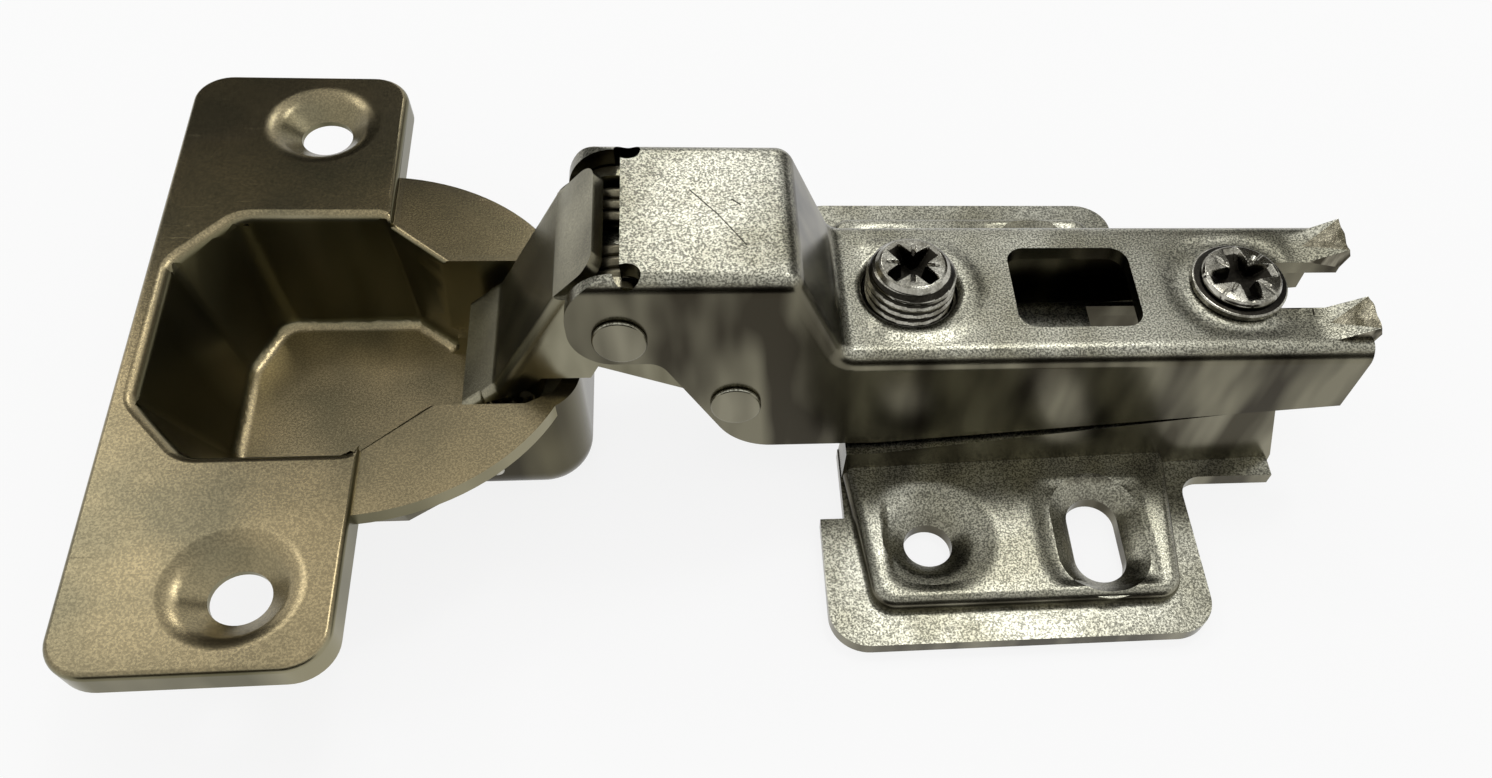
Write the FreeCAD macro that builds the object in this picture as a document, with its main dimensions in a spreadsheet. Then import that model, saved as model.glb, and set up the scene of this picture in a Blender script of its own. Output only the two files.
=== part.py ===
"""Concealed cup hinge with its mounting plate, shown open: cup, links, cranked arm, screws and plate.

Origin: on the plate's underside, midway between its two round screw holes.
+X runs along the arm away from the cup, +Z points out of the cup's mouth, the mirror plane is Y = 0.
"""
import FreeCAD, Part
import math
import os
import re
import Sketcher

V = FreeCAD.Vector

# Driving sizes in millimetres and degrees: word, value, what it is
SIZES = [
    ("arm_wall", 1.2, "sheet thickness of the arm"),
    ("arm_half", 7.6, "half width of the arm outside"),
    ("arm_top", 15.2, "height of the arm's straight top"),
    ("arm_rear", 36.6, "rear end of the arm"),
    ("arm_rear_low", 8.5, "height of the side wall's lower edge at the rear"),
    ("arm_belly", 4.75, "height of the side wall's lower edge under the crank"),
    ("arm_belly_front", -16.0, "front end of the belly"),
    ("arm_belly_rear", -4.0, "rear end of the belly"),
    ("crank_rise", 7.9, "rise of the crank box above the straight top"),
    ("crank_angle", 64.3, "slope of the crank in degrees"),
    ("crank_foot", -7.6, "where the slope meets the straight top"),
    ("bend_radius", 1.4, "outer bend radius of the arm's long edges"),
    ("crank_bend", 1.6, "outer radius of the crank's cross bends"),
    ("roof_front", -24.1, "front edge of the crank box roof"),
    ("ear_front", -28.4, "front of the arm's ears"),
    ("ear_bottom", 15.1, "lower edge of the arm's ears"),
    ("ear_round", 3.2, "rounding of the ears' front corners"),
    ("ear_heel", -21.8, "where the ear's lower edge turns down"),
    ("belly_round", 5.0, "rounding of the lower outline"),
    ("relief_radius", 1.0, "radius of the relief notches at the roof's front corners"),
    ("window_front", 7.0, "front edge of the arm's window"),
    ("window_rear", 17.5, "rear edge of the arm's window"),
    ("window_half", 4.4, "half width of the window"),
    ("window_round", 1.6, "corner radius of the window"),
    ("slot_half", 2.6, "half width of the rear slot"),
    ("slot_play", 0.4, "play between the fixing screw and the slot's closed end"),
    ("tip_length", 3.2, "length of the flared slot tips"),
    ("tip_rise", 1.5, "rise of the flared slot tips"),
    ("tip_half", 6.2, "outer half width of the flared tips"),
    ("collar_radius", 4.9, "outer radius of the drawn screw collar"),
    ("collar_depth", 2.2, "depth of the drawn screw collar under the sheet"),
    ("collar_flare", 0.9, "flare of the collar's mouth"),
    ("front_pivot_across", -24.6, "front rivet from the origin"),
    ("front_pivot_up", 17.8, "front rivet above the plate's underside"),
    ("rear_pivot_across", -16.1, "rear rivet from the origin"),
    ("rear_pivot_up", 10.3, "rear rivet above the plate's underside"),
    ("rivet_radius", 1.6, "radius of the rivet shanks"),
    ("rivet_head_radius", 2.05, "radius of the rivet heads"),
    ("rivet_head_height", 0.45, "height of the rivet heads"),
    ("bush_radius", 2.15, "outer radius of the bush that carries the spring"),
    ("wire", 1.2, "diameter of the spring wire"),
    ("coil_gap", 0.1, "gap between bush and coils"),
    ("coil_space", 0.05, "gap between neighbouring turns"),
    ("coil_turns", 2.5, "turns on each side"),
    ("coil_start", 1.4, "start of the coils from the middle"),
    ("spring_leg", 2.0, "length of the spring's legs"),
    ("link_wall", 1.0, "sheet thickness of the outer link"),
    ("thread_gap", 0.06, "radial clearance of the turning screws"),
    ("rim_pass_front", -31.2, "front end of the outer link's edge over the cup's rim"),
    ("rim_pass_rear", -27.4, "rear end of the outer link's edge over the cup's rim"),
    ("rim_pass_up", 12.1, "height of the links' edges over the cup's rim"),
    ("rim_hollow_across", -33.3, "corner of the outer link's hollow lower edge"),
    ("rim_hollow_up", 10.25, "corner of the outer link's hollow lower edge, height"),
    ("neck_across", -36.0, "rear edge of the outer link's neck"),
    ("neck_up", 9.35, "top of the outer link's neck"),
    ("neck_front", -38.3, "front edge of the outer link's neck"),
    ("tongue_round", 1.6, "corner radius of the stop tongue"),
    ("link_half", 6.25, "half width of the outer link outside"),
    ("link_eye_radius", 3.9, "radius of the outer link's eye at the front rivet"),
    ("link_toe_radius", 2.3, "radius of the outer link's eye at the cup pin"),
    ("web_end_across", -38.2, "lower end of the outer link's web"),
    ("web_end_up", 8.3, "lower end of the outer link's web, height"),
    ("web_knee_across", -35.2, "knee of the web"),
    ("web_knee_up", 10.6, "knee of the web, height"),
    ("web_fold_across", -29.2, "upper fold of the web"),
    ("web_fold_up", 19.9, "upper fold of the web, height"),
    ("tongue_end_across", -26.1, "end of the web's stop tongue"),
    ("tongue_end_up", 22.9, "end of the web's stop tongue, height"),
    ("tongue_half", 5.4, "half width of the stop tongue"),
    ("cup_pin_radius", 0.75, "radius of the pins in the cup"),
    ("outer_pin_across", -36.1, "cup pin of the outer link"),
    ("outer_pin_up", 4.3, "cup pin of the outer link, height"),
    ("inner_pin_across", -34.4, "cup pin of the inner link"),
    ("inner_pin_up", 7.9, "cup pin of the inner link, height"),
    ("pin_reach", 0.6, "how far the cup pins stand out of the tail's walls"),
    ("inner_half", 4.9, "half width of the inner link's front part"),
    ("inner_wall", 1.1, "sheet thickness of the inner link"),
    ("inner_eye_radius", 2.9, "radius of the inner link's eye at the rear rivet"),
    ("inner_toe_wall", 0.35, "rim around the inner link's slotted eye"),
    ("slot_eye_up", 0.21, "half height play of the open pivot"),
    ("slot_eye_lift", 0.18, "how much the open pivot's slot lies above the pin"),
    ("slot_eye_front", 0.48, "play of the open pivot towards the cup"),
    ("slot_eye_rear", 1.0, "play of the open pivot towards the arm"),
    ("arch_top", 14.0, "top of the inner link's arch"),
    ("arch_front", -30.6, "front end of the arch's top"),
    ("arch_rear", -25.4, "rear end of the arch's top"),
    ("arch_low_front", -30.3, "front end of the arch's lower edge"),
    ("arch_low_rear", -27.7, "rear end of the arch's lower edge"),
    ("arch_web_rear", -21.0, "rear end of the inner link's web"),
    ("running_gap", 0.03, "radial running clearance at the pivots"),
    ("side_gap", 0.15, "side clearance between moving plates"),
    ("cup_across", -46.3, "centre of the cup from the origin"),
    ("cup_depth", 11.5, "depth of the cup below its wings' top"),
    ("cup_wall", 1.0, "wall of the cup's bowl"),
    ("flange_sheet", 1.2, "sheet thickness of the wings"),
    ("flange_edge", 2.2, "height of the wings' turned down edge"),
    ("wing_back", 17.0, "back edge of the wings from the cup's centre"),
    ("wing_front", 1.7, "front edge of the wings from the cup's centre"),
    ("wing_half", 30.6, "half length over both wings"),
    ("wing_round", 3.2, "corner radius of the wings"),
    ("edge_round", 0.5, "rounding of the wings' top edge"),
    ("leaf_radius", 17.9, "outer radius of the leaves"),
    ("leaf_drop", 0.6, "how far the leaves lie below the wings"),
    ("bowl_back", 15.3, "back of the bowl's mouth from the cup's centre"),
    ("bowl_back_half", 7.2, "half width of the bowl's back edge"),
    ("bowl_shoulder", 10.8, "back corners of the bowl"),
    ("bowl_half", 12.5, "half width of the bowl's mouth"),
    ("bowl_front", 0.9, "front corners of the bowl"),
    ("bowl_neck", 6.3, "where the bowl narrows to the tail"),
    ("floor_back", 12.3, "back of the bowl's floor from the cup's centre"),
    ("floor_back_half", 4.6, "half width of the floor's back edge"),
    ("floor_shoulder", 10.2, "back corners of the floor"),
    ("floor_half", 10.1, "half width of the floor"),
    ("floor_front", 1.9, "front corners of the floor"),
    ("floor_neck", 5.6, "where the floor narrows to the tail"),
    ("bowl_bottom", 1.8, "bottom edge radius of the bowl outside"),
    ("bowl_crease", 2.6, "rounding of the bowl's upright creases"),
    ("bowl_foot", 1.2, "rounding between the bowl's walls and floor"),
    ("bowl_shoulder_round", 1.2, "rounding of the bowl's front creases"),
    ("tail_half", 7.7, "half width of the tail channel inside"),
    ("tail_corner", 4.2, "corner radius of the tail's end outside"),
    ("tail_bottom", 3.0, "bottom edge radius of the tail's end outside"),
    ("door_hole_back", 5.4, "door screw holes behind the cup's centre"),
    ("door_hole_half", 24.0, "half the pitch of the door screw holes"),
    ("door_hole_radius", 2.2, "radius of the door screw holes"),
    ("door_dimple_radius", 4.3, "radius of the countersink at the top"),
    ("door_dimple_depth", 1.5, "depth of the countersink"),
    ("plate_sheet", 1.2, "sheet thickness of the plate"),
    ("plate_front", -9.1, "front edge of the plate"),
    ("plate_rear", 24.0, "rear edge of the plate's wings"),
    ("plate_half", 25.5, "half width over the plate's wings"),
    ("plate_round", 3.4, "corner radius of the plate's wings"),
    ("plate_notch", 13.0, "where the front rim ends beside the hump"),
    ("plate_tail", 33.0, "rear end of the plate's tail"),
    ("tail_strip_half", 9.6, "half width over the tail's strips"),
    ("deck_front", -5.4, "front edge of the raised deck"),
    ("deck_rear", 21.2, "rear edge of the raised deck"),
    ("deck_slant", 1.4, "how much the deck widens towards the hump on each end"),
    ("deck_half", 22.5, "half width over the decks"),
    ("deck_top", 2.6, "height of the decks"),
    ("deck_round", 1.0, "rounding of the decks' top edge"),
    ("hump_front", -7.0, "front end of the hump"),
    ("hump_rear", 31.2, "rear end of the hump at its top"),
    ("hump_foot_half", 8.9, "half width of the hump's foot"),
    ("hump_rear_half", 7.6, "half width of the hump's shoulders at the rear"),
    ("hump_draft", 4.0, "draft of the hump's walls in degrees"),
    ("hump_half", 5.2, "half width of the hump's rib inside the arm"),
    ("hump_low", 4.4, "height of the hump's shoulders at the front"),
    ("hump_low_rear", -4.0, "where the shoulders start to rise"),
    ("hump_high", 7.6, "height of the hump's shoulders at the rear"),
    ("hump_top", 9.2, "height of the hump's top"),
    ("hump_round", 1.9, "rounding of the hump's long edges"),
    ("hump_slant", 2.2, "lean of the hump's rear end"),
    ("hump_window_front", 15.6, "front edge of the opening in the hump"),
    ("hump_window_rear", 21.4, "rear edge of the opening in the hump"),
    ("hump_window_half", 3.6, "half width of the opening in the hump"),
    ("panel_hole_half", 16.0, "half the pitch of the panel screw holes"),
    ("panel_hole_radius", 2.1, "radius of the panel screw holes"),
    ("panel_slot_across", 15.0, "panel slots from the origin"),
    ("panel_slot_radius", 2.3, "half width of the panel slots"),
    ("panel_slot_length", 8.6, "length of the panel slots"),
    ("panel_dimple_rise", 2.0, "how much wider the dimples are at the top"),
    ("panel_dimple_depth", 1.5, "depth of the dimples"),
    ("overlay_across", -1.65, "overlay screw from the origin"),
    ("overlay_radius", 3.65, "thread radius of the overlay screw"),
    ("overlay_top", 17.8, "top of the overlay screw"),
    ("overlay_chamfer", 0.8, "chamfer at the overlay screw's ends"),
    ("overlay_neck_radius", 1.6, "neck radius of the overlay screw"),
    ("overlay_foot_radius", 2.8, "foot radius of the overlay screw"),
    ("overlay_foot_height", 1.2, "height of the overlay screw's foot"),
    ("foot_gap", 0.15, "gap between the screw's foot or shoulder and the hump"),
    ("fixing_across", 26.4, "fixing screw from the origin"),
    ("fixing_radius", 2.2, "shank radius of the fixing screw"),
    ("fixing_head_radius", 4.1, "head radius of the fixing screw"),
    ("fixing_head_height", 1.35, "height of the fixing screw's head"),
    ("fixing_collar", 0.5, "height of the fixing screw's wide collar"),
    ("fixing_end", 5.8, "height of the fixing screw's lower end"),
    ("nut_radius", 3.4, "radius of the nut drawn in the hump"),
    ("nut_depth", 1.6, "depth of the nut drawn in the hump"),
    ("track_half", 1.9, "half width of the hump's track for the overlay screw"),
    ("track_rear", 0.6, "rear end of the hump's track"),
    ("seat_gap", 0.05, "gap under the fixing screw's head"),
    ("recess_arm", 0.62, "half width of the screws' cross recess arms"),
    ("recess_depth", 0.9, "depth of the screws' cross recess"),
]

doc = FreeCAD.newDocument("CupHinge")
sheet = doc.addObject("Spreadsheet::Sheet", "dims")
for row, (word, number, note) in enumerate(SIZES, start=1):
    sheet.set("A%d" % row, note)
    sheet.set("B%d" % row, str(number))
    sheet.setAlias("B%d" % row, word)
doc.recompute()
WORDS = {word for word, number, note in SIZES}
bodies = []


def bound(expression):
    """The expression with each sheet word made a reference to its cell."""
    return re.sub(r"[a-z_]+", lambda m: "dims." + m.group() if m.group() in WORDS else m.group(), str(expression))


def value(expression):
    """The number that an expression of sheet words gives."""
    result = sheet.evalExpression(bound(expression))
    return float(getattr(result, "Value", result))


def new_body(name):
    """A body with its own label, which names its file."""
    body = doc.addObject("PartDesign::Body", name)
    body.Label = name
    bodies.append(body)
    return body


def new_sketch(body, role, name, height="0"):
    """A sketch on one of the body's own origin planes, lifted by height along the plane's normal."""
    sketch = body.newObject("Sketcher::SketchObject", name)
    plane = [feature for feature in body.Origin.OriginFeatures if feature.Role == role][0]
    sketch.AttachmentSupport = [(plane, "")]
    sketch.MapMode = "FlatFace"
    sketch.setExpression("AttachmentOffset.Base.z", bound(height))
    return sketch


def fix(sketch, kind, arguments, expression):
    """Add a dimension whose value is bound to the sheet."""
    index = sketch.addConstraint(Sketcher.Constraint(kind, *arguments, value(expression)))
    sketch.setExpression("Constraints[%d]" % index, bound(expression))


def place(sketch, curve, point, across, up):
    """Hold one point of a curve at its distances from the sketch's origin."""
    fix(sketch, "DistanceX", (-1, 1, curve, point), across)
    fix(sketch, "DistanceY", (-1, 1, curve, point), up)


def polygon(sketch, corners):
    """A closed outline with one straight edge from each corner to the next."""
    first = sketch.GeometryCount
    points = [V(value(across), value(up), 0) for across, up in corners]
    count = len(points)
    for index in range(count):
        sketch.addGeometry(Part.LineSegment(points[index], points[(index + 1) % count]))
    for index in range(count):
        following = first + (index + 1) % count
        sketch.addConstraint(Sketcher.Constraint("Coincident", first + index, 2, following, 1))
    for index, (across, up) in enumerate(corners):
        place(sketch, first + index, 1, across, up)


def mirrored(corners):
    """The corners of one half of an outline and of its mirror image below the first axis."""
    return corners + [(across, "-(%s)" % up) for across, up in reversed(corners)]


def circle(sketch, across, up, radius):
    """A full circle."""
    curve = sketch.addGeometry(Part.Circle(V(value(across), value(up), 0), V(0, 0, 1), value(radius)))
    place(sketch, curve, 3, across, up)
    fix(sketch, "Radius", (curve,), radius)


def long_hole(sketch, first, second, radius):
    """A slot outline around the line from the first to the second centre."""
    start, end = V(value(first[0]), value(first[1]), 0), V(value(second[0]), value(second[1]), 0)
    turn = math.atan2(end.y - start.y, end.x - start.x)
    r, upright = value(radius), V(0, 0, 1)
    side = V(-math.sin(turn), math.cos(turn), 0) * r
    far = sketch.addGeometry(Part.ArcOfCircle(Part.Circle(end, upright, r), turn - math.pi / 2, turn + math.pi / 2))
    back = sketch.addGeometry(Part.LineSegment(end + side, start + side))
    close = sketch.addGeometry(Part.ArcOfCircle(Part.Circle(start, upright, r), turn + math.pi / 2, turn + 1.5 * math.pi))
    forth = sketch.addGeometry(Part.LineSegment(start - side, end - side))
    for one, other in ((far, back), (back, close), (close, forth), (forth, far)):
        sketch.addConstraint(Sketcher.Constraint("Tangent", one, 2, other, 1))
    place(sketch, far, 3, *second)
    place(sketch, close, 3, *first)
    fix(sketch, "Radius", (far,), radius)


def outer_corner(sketch, corner, rise, radius):
    """What a rounding takes from a corner that points to -X, and up where rise is 1 or down where it is -1."""
    across, up = corner
    x, y, r = value(across), value(up), value(radius)
    centre = V(x + r, y - rise * r, 0)
    start, end = (math.pi / 2, math.pi) if rise > 0 else (math.pi, 1.5 * math.pi)
    arc = sketch.addGeometry(Part.ArcOfCircle(Part.Circle(centre, V(0, 0, 1), r), start, end))
    level = sketch.addGeometry(Part.LineSegment(V(x + r, y, 0), V(x, y, 0)))
    plumb = sketch.addGeometry(Part.LineSegment(V(x, y, 0), V(x, y - rise * r, 0)))
    near_end, far_end = (1, 2) if rise > 0 else (2, 1)
    sketch.addConstraint(Sketcher.Constraint("Tangent", arc, near_end, level, 1))
    sketch.addConstraint(Sketcher.Constraint("Coincident", level, 2, plumb, 1))
    sketch.addConstraint(Sketcher.Constraint("Tangent", plumb, 2, arc, far_end))
    sketch.addConstraint(Sketcher.Constraint("Horizontal", level))
    sketch.addConstraint(Sketcher.Constraint("Vertical", plumb))
    place(sketch, level, 2, across, up)
    fix(sketch, "Radius", (arc,), radius)


def extrude(body, kind, sketch, name, length=None, symmetric=False, backwards=False, taper=None):
    """A Pad or Pocket of the sketch; a pocket without a length goes through all."""
    feature = body.newObject("PartDesign::" + kind, name)
    feature.Profile = sketch
    feature.SideType = "Symmetric" if symmetric else "One side"
    feature.Reversed = backwards
    if length is None:
        feature.Type = "ThroughAll"
    else:
        feature.setExpression("Length", bound(length))
    if taper is not None:
        feature.setExpression("TaperAngle", bound(taper))
    doc.recompute()
    return feature


def pad(body, sketch, name, length, **options):
    """Add the sketch's extrusion to the body."""
    return extrude(body, "Pad", sketch, name, length, **options)


def pocket(body, sketch, name, length=None, **options):
    """Cut the sketch's extrusion from the body and make sure that it cuts something."""
    before = body.Shape.Volume
    feature = extrude(body, "Pocket", sketch, name, length, **options)
    if body.Shape.Volume > before - 1e-6:
        raise RuntimeError("%s cuts nothing" % name)
    return feature


def edge_names(body, chosen):
    """Names of the body's edges for which chosen(edge, low corner, high corner) is true."""
    names = []
    for index, edge in enumerate(body.Shape.Edges, start=1):
        box = edge.BoundBox
        if chosen(edge, V(box.XMin, box.YMin, box.ZMin), V(box.XMax, box.YMax, box.ZMax)):
            names.append("Edge%d" % index)
    return names


def rounded(body, name, radius, chosen):
    """A fillet on the chosen edges."""
    names = edge_names(body, chosen)
    if not names:
        raise RuntimeError("%s finds no edge" % name)
    feature = body.newObject("PartDesign::Fillet", name)
    feature.Base = (body.Tip if body.Tip != feature else feature.BaseFeature, names)
    feature.setExpression("Radius", bound(radius))
    doc.recompute()
    return feature


def near(first, second):
    """True where two numbers are the same to a hundredth of a millimetre."""
    return abs(first - second) < 0.01


def through_corner(spots, axes=(0, 2)):
    """Chooses straight edges that stand on one of the spots, seen along the third axis."""
    wanted = [tuple(value(word) for word in spot) for spot in spots]

    def chosen(edge, low, high):
        place_now = (low[axes[0]], low[axes[1]])
        flat = near(low[axes[0]], high[axes[0]]) and near(low[axes[1]], high[axes[1]])
        return flat and any(near(place_now[0], spot[0]) and near(place_now[1], spot[1]) for spot in wanted)

    return chosen


def rod(name, radius, half_length, across, up, head_radius=None, head_height=None):
    """A turned pin across the hinge, with a head on both ends where a head radius is given."""
    body = new_body(name)
    sketch = new_sketch(body, "XZ_Plane", name + "_section")
    circle(sketch, across, up, radius)
    pad(body, sketch, name + "_shank", "2 * (%s)" % half_length, symmetric=True)
    if head_radius:
        for side in (1, -1):
            inner = "%d * (%s)" % (-side, half_length)
            head = new_sketch(body, "XZ_Plane", "%s_head_%d" % (name, side + 2), inner)
            circle(head, across, up, head_radius)
            pad(body, head, "%s_head_pad_%d" % (name, side + 2), head_height, backwards=side > 0)
    return body


FRONT_PIVOT = ("front_pivot_across", "front_pivot_up")
REAR_PIVOT = ("rear_pivot_across", "rear_pivot_up")
OUTER_PIN = ("outer_pin_across", "outer_pin_up")
INNER_PIN = ("inner_pin_across", "inner_pin_up")


def make_arm():
    """The cranked arm: one folded sheet with ears, crank box, window, screw collar and open rear slot."""
    body = new_body("hinge_arm")
    run = "crank_rise / tan(crank_angle * 1 deg)"
    roof = "arm_top + crank_rise"
    outline = [
        ("arm_rear", "arm_top"), ("crank_foot", "arm_top"), ("crank_foot - %s" % run, roof),
        ("ear_front", roof), ("ear_front", "ear_bottom"), ("ear_heel", "ear_bottom"),
        ("arm_belly_front", "arm_belly"), ("arm_belly_rear", "arm_belly"), ("arm_rear", "arm_rear_low"),
    ]
    side = new_sketch(body, "XZ_Plane", "arm_side")
    polygon(side, outline)
    pad(body, side, "arm_block", "2 * arm_half", symmetric=True)
    rounded(body, "arm_cross_bends", "crank_bend", through_corner(outline[1:3]))
    rounded(body, "arm_belly_round", "belly_round", through_corner(outline[6:8]))
    rounded(body, "arm_heel_round", "ear_round / 2", through_corner(outline[5:6]))
    half = value("arm_half")
    rear = value("arm_rear")
    top_line = value("arm_top")

    def long_top_edge(edge, low, high):
        on_side = near(low.y, high.y) and near(abs(low.y), half)
        return on_side and low.z > top_line - 0.01 and not (near(low.x, rear) and near(high.x, rear))

    rounded(body, "arm_long_bends", "bend_radius", long_top_edge)

    shift = "arm_wall * tan(crank_angle / 2 * 1 deg)"
    ears = new_sketch(body, "XZ_Plane", "arm_ear_corners")
    outer_corner(ears, ("ear_front", roof), 1, "ear_round * 1.2")
    outer_corner(ears, ("ear_front", "ear_bottom"), -1, "ear_round")
    pocket(body, ears, "arm_ear_cut", "3 * arm_half", symmetric=True)
    hollow = new_sketch(body, "XZ_Plane", "arm_hollow")
    polygon(hollow, [
        ("arm_rear + arm_wall", "arm_top - arm_wall"), ("crank_foot - %s" % shift, "arm_top - arm_wall"),
        ("crank_foot - %s - %s" % (run, shift), "%s - arm_wall" % roof),
        ("ear_front - arm_wall", "%s - arm_wall" % roof), ("ear_front - arm_wall", "-arm_wall"),
        ("arm_rear + arm_wall", "-arm_wall"),
    ])
    pocket(body, hollow, "arm_hollow_cut", "2 * (arm_half - arm_wall)", symmetric=True)

    mouth = new_sketch(body, "XY_Plane", "arm_mouth", "%s - 2 * arm_wall" % roof)
    inner = "arm_half - arm_wall"
    polygon(mouth, mirrored([("roof_front", inner), ("ear_front - arm_wall", inner)]))
    pocket(body, mouth, "arm_mouth_cut", "3 * arm_wall", backwards=True)
    relief = new_sketch(body, "XY_Plane", "arm_relief", "%s - 2 * arm_wall" % roof)
    for side_word in ("arm_half - arm_wall", "-(arm_half - arm_wall)"):
        circle(relief, "roof_front + relief_radius / 2", side_word, "relief_radius")
    pocket(body, relief, "arm_relief_cut", "3 * arm_wall", backwards=True)

    collar = new_sketch(body, "XY_Plane", "arm_collar", "arm_top - arm_wall - collar_depth")
    circle(collar, "overlay_across", "0", "collar_radius")
    pad(body, collar, "arm_collar_ring", "collar_depth + arm_wall / 2")
    bore = new_sketch(body, "XY_Plane", "arm_bore", "arm_top")
    circle(bore, "overlay_across", "0", "overlay_radius + thread_gap")
    pocket(body, bore, "arm_bore_cut", "collar_depth + 2 * arm_wall")
    mouth_radius = value("overlay_radius + thread_gap")

    def bore_mouth(edge, low, high):
        return near(low.z, top_line) and near(high.z, top_line) and near(high.x - low.x, 2 * mouth_radius)

    rounded(body, "arm_bore_mouth", "collar_flare", bore_mouth)

    window = new_sketch(body, "XY_Plane", "arm_window", "arm_top + arm_wall")
    polygon(window, mirrored([("window_rear", "window_half"), ("window_front", "window_half")]))
    pocket(body, window, "arm_window_cut", "3 * arm_wall")
    corners = [(x, y) for x in ("window_front", "window_rear") for y in ("window_half", "-window_half")]
    rounded(body, "arm_window_round", "window_round", through_corner(corners, (0, 1)))

    slot = new_sketch(body, "XY_Plane", "arm_slot", "arm_top + arm_wall")
    closed = "fixing_across - slot_play + (slot_half - fixing_radius)"
    polygon(slot, mirrored([("arm_rear + arm_wall", "slot_half"), (closed, "slot_half")]))
    pocket(body, slot, "arm_slot_cut", "3 * arm_wall")
    slot_end = new_sketch(body, "XY_Plane", "arm_slot_end", "arm_top + arm_wall")
    circle(slot_end, closed, "0", "slot_half")
    pocket(body, slot_end, "arm_slot_end_cut", "3 * arm_wall")

    for index, sign in enumerate((1, -1)):
        middle = "%d * (slot_half + tip_half) / 2" % -sign
        tip = new_sketch(body, "XZ_Plane", "arm_tip_%d" % index, middle)
        root = "arm_rear - tip_length"
        polygon(tip, [
            (root, "arm_top"), ("arm_rear", "arm_top + tip_rise"), ("arm_rear + arm_wall / 3", "arm_top + tip_rise / 2"),
            ("arm_rear", "arm_top - arm_wall / 2"), (root, "arm_top - arm_wall"),
        ])
        pad(body, tip, "arm_tip_pad_%d" % index, "tip_half - slot_half", symmetric=True)

    holes = new_sketch(body, "XZ_Plane", "arm_rivet_holes")
    circle(holes, *FRONT_PIVOT, "rivet_radius")
    circle(holes, *REAR_PIVOT, "rivet_radius")
    pocket(body, holes, "arm_rivet_cut", "3 * arm_half", symmetric=True)
    return body


def make_outer_link():
    """The channel link between the arm's front rivet and the cup, with its web towards the cup."""
    body = new_body("outer_link")
    cheek = new_sketch(body, "XZ_Plane", "outer_cheek")
    polygon(cheek, [
        ("web_end_across", "web_end_up"), ("web_knee_across", "web_knee_up"), ("web_fold_across", "web_fold_up"),
        ("front_pivot_across - link_eye_radius * 0.6", "front_pivot_up + link_eye_radius * 0.79"), FRONT_PIVOT,
        ("front_pivot_across - link_eye_radius * 0.43", "front_pivot_up - link_eye_radius * 0.95"),
        ("rim_pass_rear", "rim_pass_up"), ("rim_pass_front", "rim_pass_up"),
        ("rim_hollow_across", "rim_hollow_up"), ("neck_across", "neck_up"),
        ("neck_across", "outer_pin_up"), ("neck_front", "outer_pin_up"),
    ])
    pad(body, cheek, "outer_cheek_pad", "2 * link_half", symmetric=True)
    rounded(body, "outer_knee", "link_wall * 2", through_corner([("web_knee_across", "web_knee_up")]))
    half = value("link_half")
    line = [V(value(x), 0, value(z)) for x, z in (
        ("web_end_across", "web_end_up"), ("web_knee_across", "web_knee_up"), ("web_fold_across", "web_fold_up"))]

    def web_side(edge, low, high):
        middle = edge.valueAt((edge.FirstParameter + edge.LastParameter) / 2)
        middle.y, on_side = 0, near(low.y, high.y) and near(abs(low.y), half)
        return on_side and min(middle.distanceToLineSegment(p, q).Length for p, q in zip(line, line[1:])) < 0.6

    rounded(body, "outer_long_bends", "bend_radius * 0.8", web_side)
    eye = new_sketch(body, "XZ_Plane", "outer_eye")
    circle(eye, *FRONT_PIVOT, "link_eye_radius")
    pad(body, eye, "outer_eye_pad", "2 * link_half", symmetric=True)
    toe = new_sketch(body, "XZ_Plane", "outer_toe")
    circle(toe, *OUTER_PIN, "link_toe_radius")
    pad(body, toe, "outer_toe_pad", "2 * link_half", symmetric=True)
    step = "link_wall * 1.25"
    between = new_sketch(body, "XZ_Plane", "outer_between")
    polygon(between, [
        ("web_end_across - link_half", "web_end_up"), ("web_end_across + %s" % step, "web_end_up"),
        ("web_knee_across + %s" % step, "web_knee_up"), ("web_fold_across + %s" % step, "web_fold_up"),
        ("web_fold_across + %s" % step, "front_pivot_up + link_half"),
        ("front_pivot_across + link_half", "front_pivot_up + link_half"),
        ("front_pivot_across + link_half", "outer_pin_up - link_half"),
        ("web_end_across - link_half", "outer_pin_up - link_half"),
    ])
    pocket(body, between, "outer_between_cut", "2 * (link_half - link_wall)", symmetric=True)
    tongue = new_sketch(body, "XZ_Plane", "outer_tongue")
    polygon(tongue, [
        ("web_fold_across", "web_fold_up"), ("tongue_end_across", "tongue_end_up"),
        ("tongue_end_across + 0.7 * link_wall", "tongue_end_up - 0.72 * link_wall"),
        ("web_fold_across + %s" % step, "web_fold_up - 0.1 * link_wall"),
    ])
    pad(body, tongue, "outer_tongue_pad", "2 * tongue_half", symmetric=True)
    tongue_half, tip = value("tongue_half"), value("tongue_end_up")

    def tongue_corner(edge, low, high):
        return near(abs(low.y), tongue_half) and near(low.y, high.y) and near(high.z, tip) and high.z - low.z < 1

    rounded(body, "outer_tongue_round", "tongue_round", tongue_corner)
    holes = new_sketch(body, "XZ_Plane", "outer_holes")
    circle(holes, *FRONT_PIVOT, "rivet_radius + running_gap")
    circle(holes, *OUTER_PIN, "cup_pin_radius + running_gap")
    pocket(body, holes, "outer_holes_cut", "3 * link_half", symmetric=True)


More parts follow.
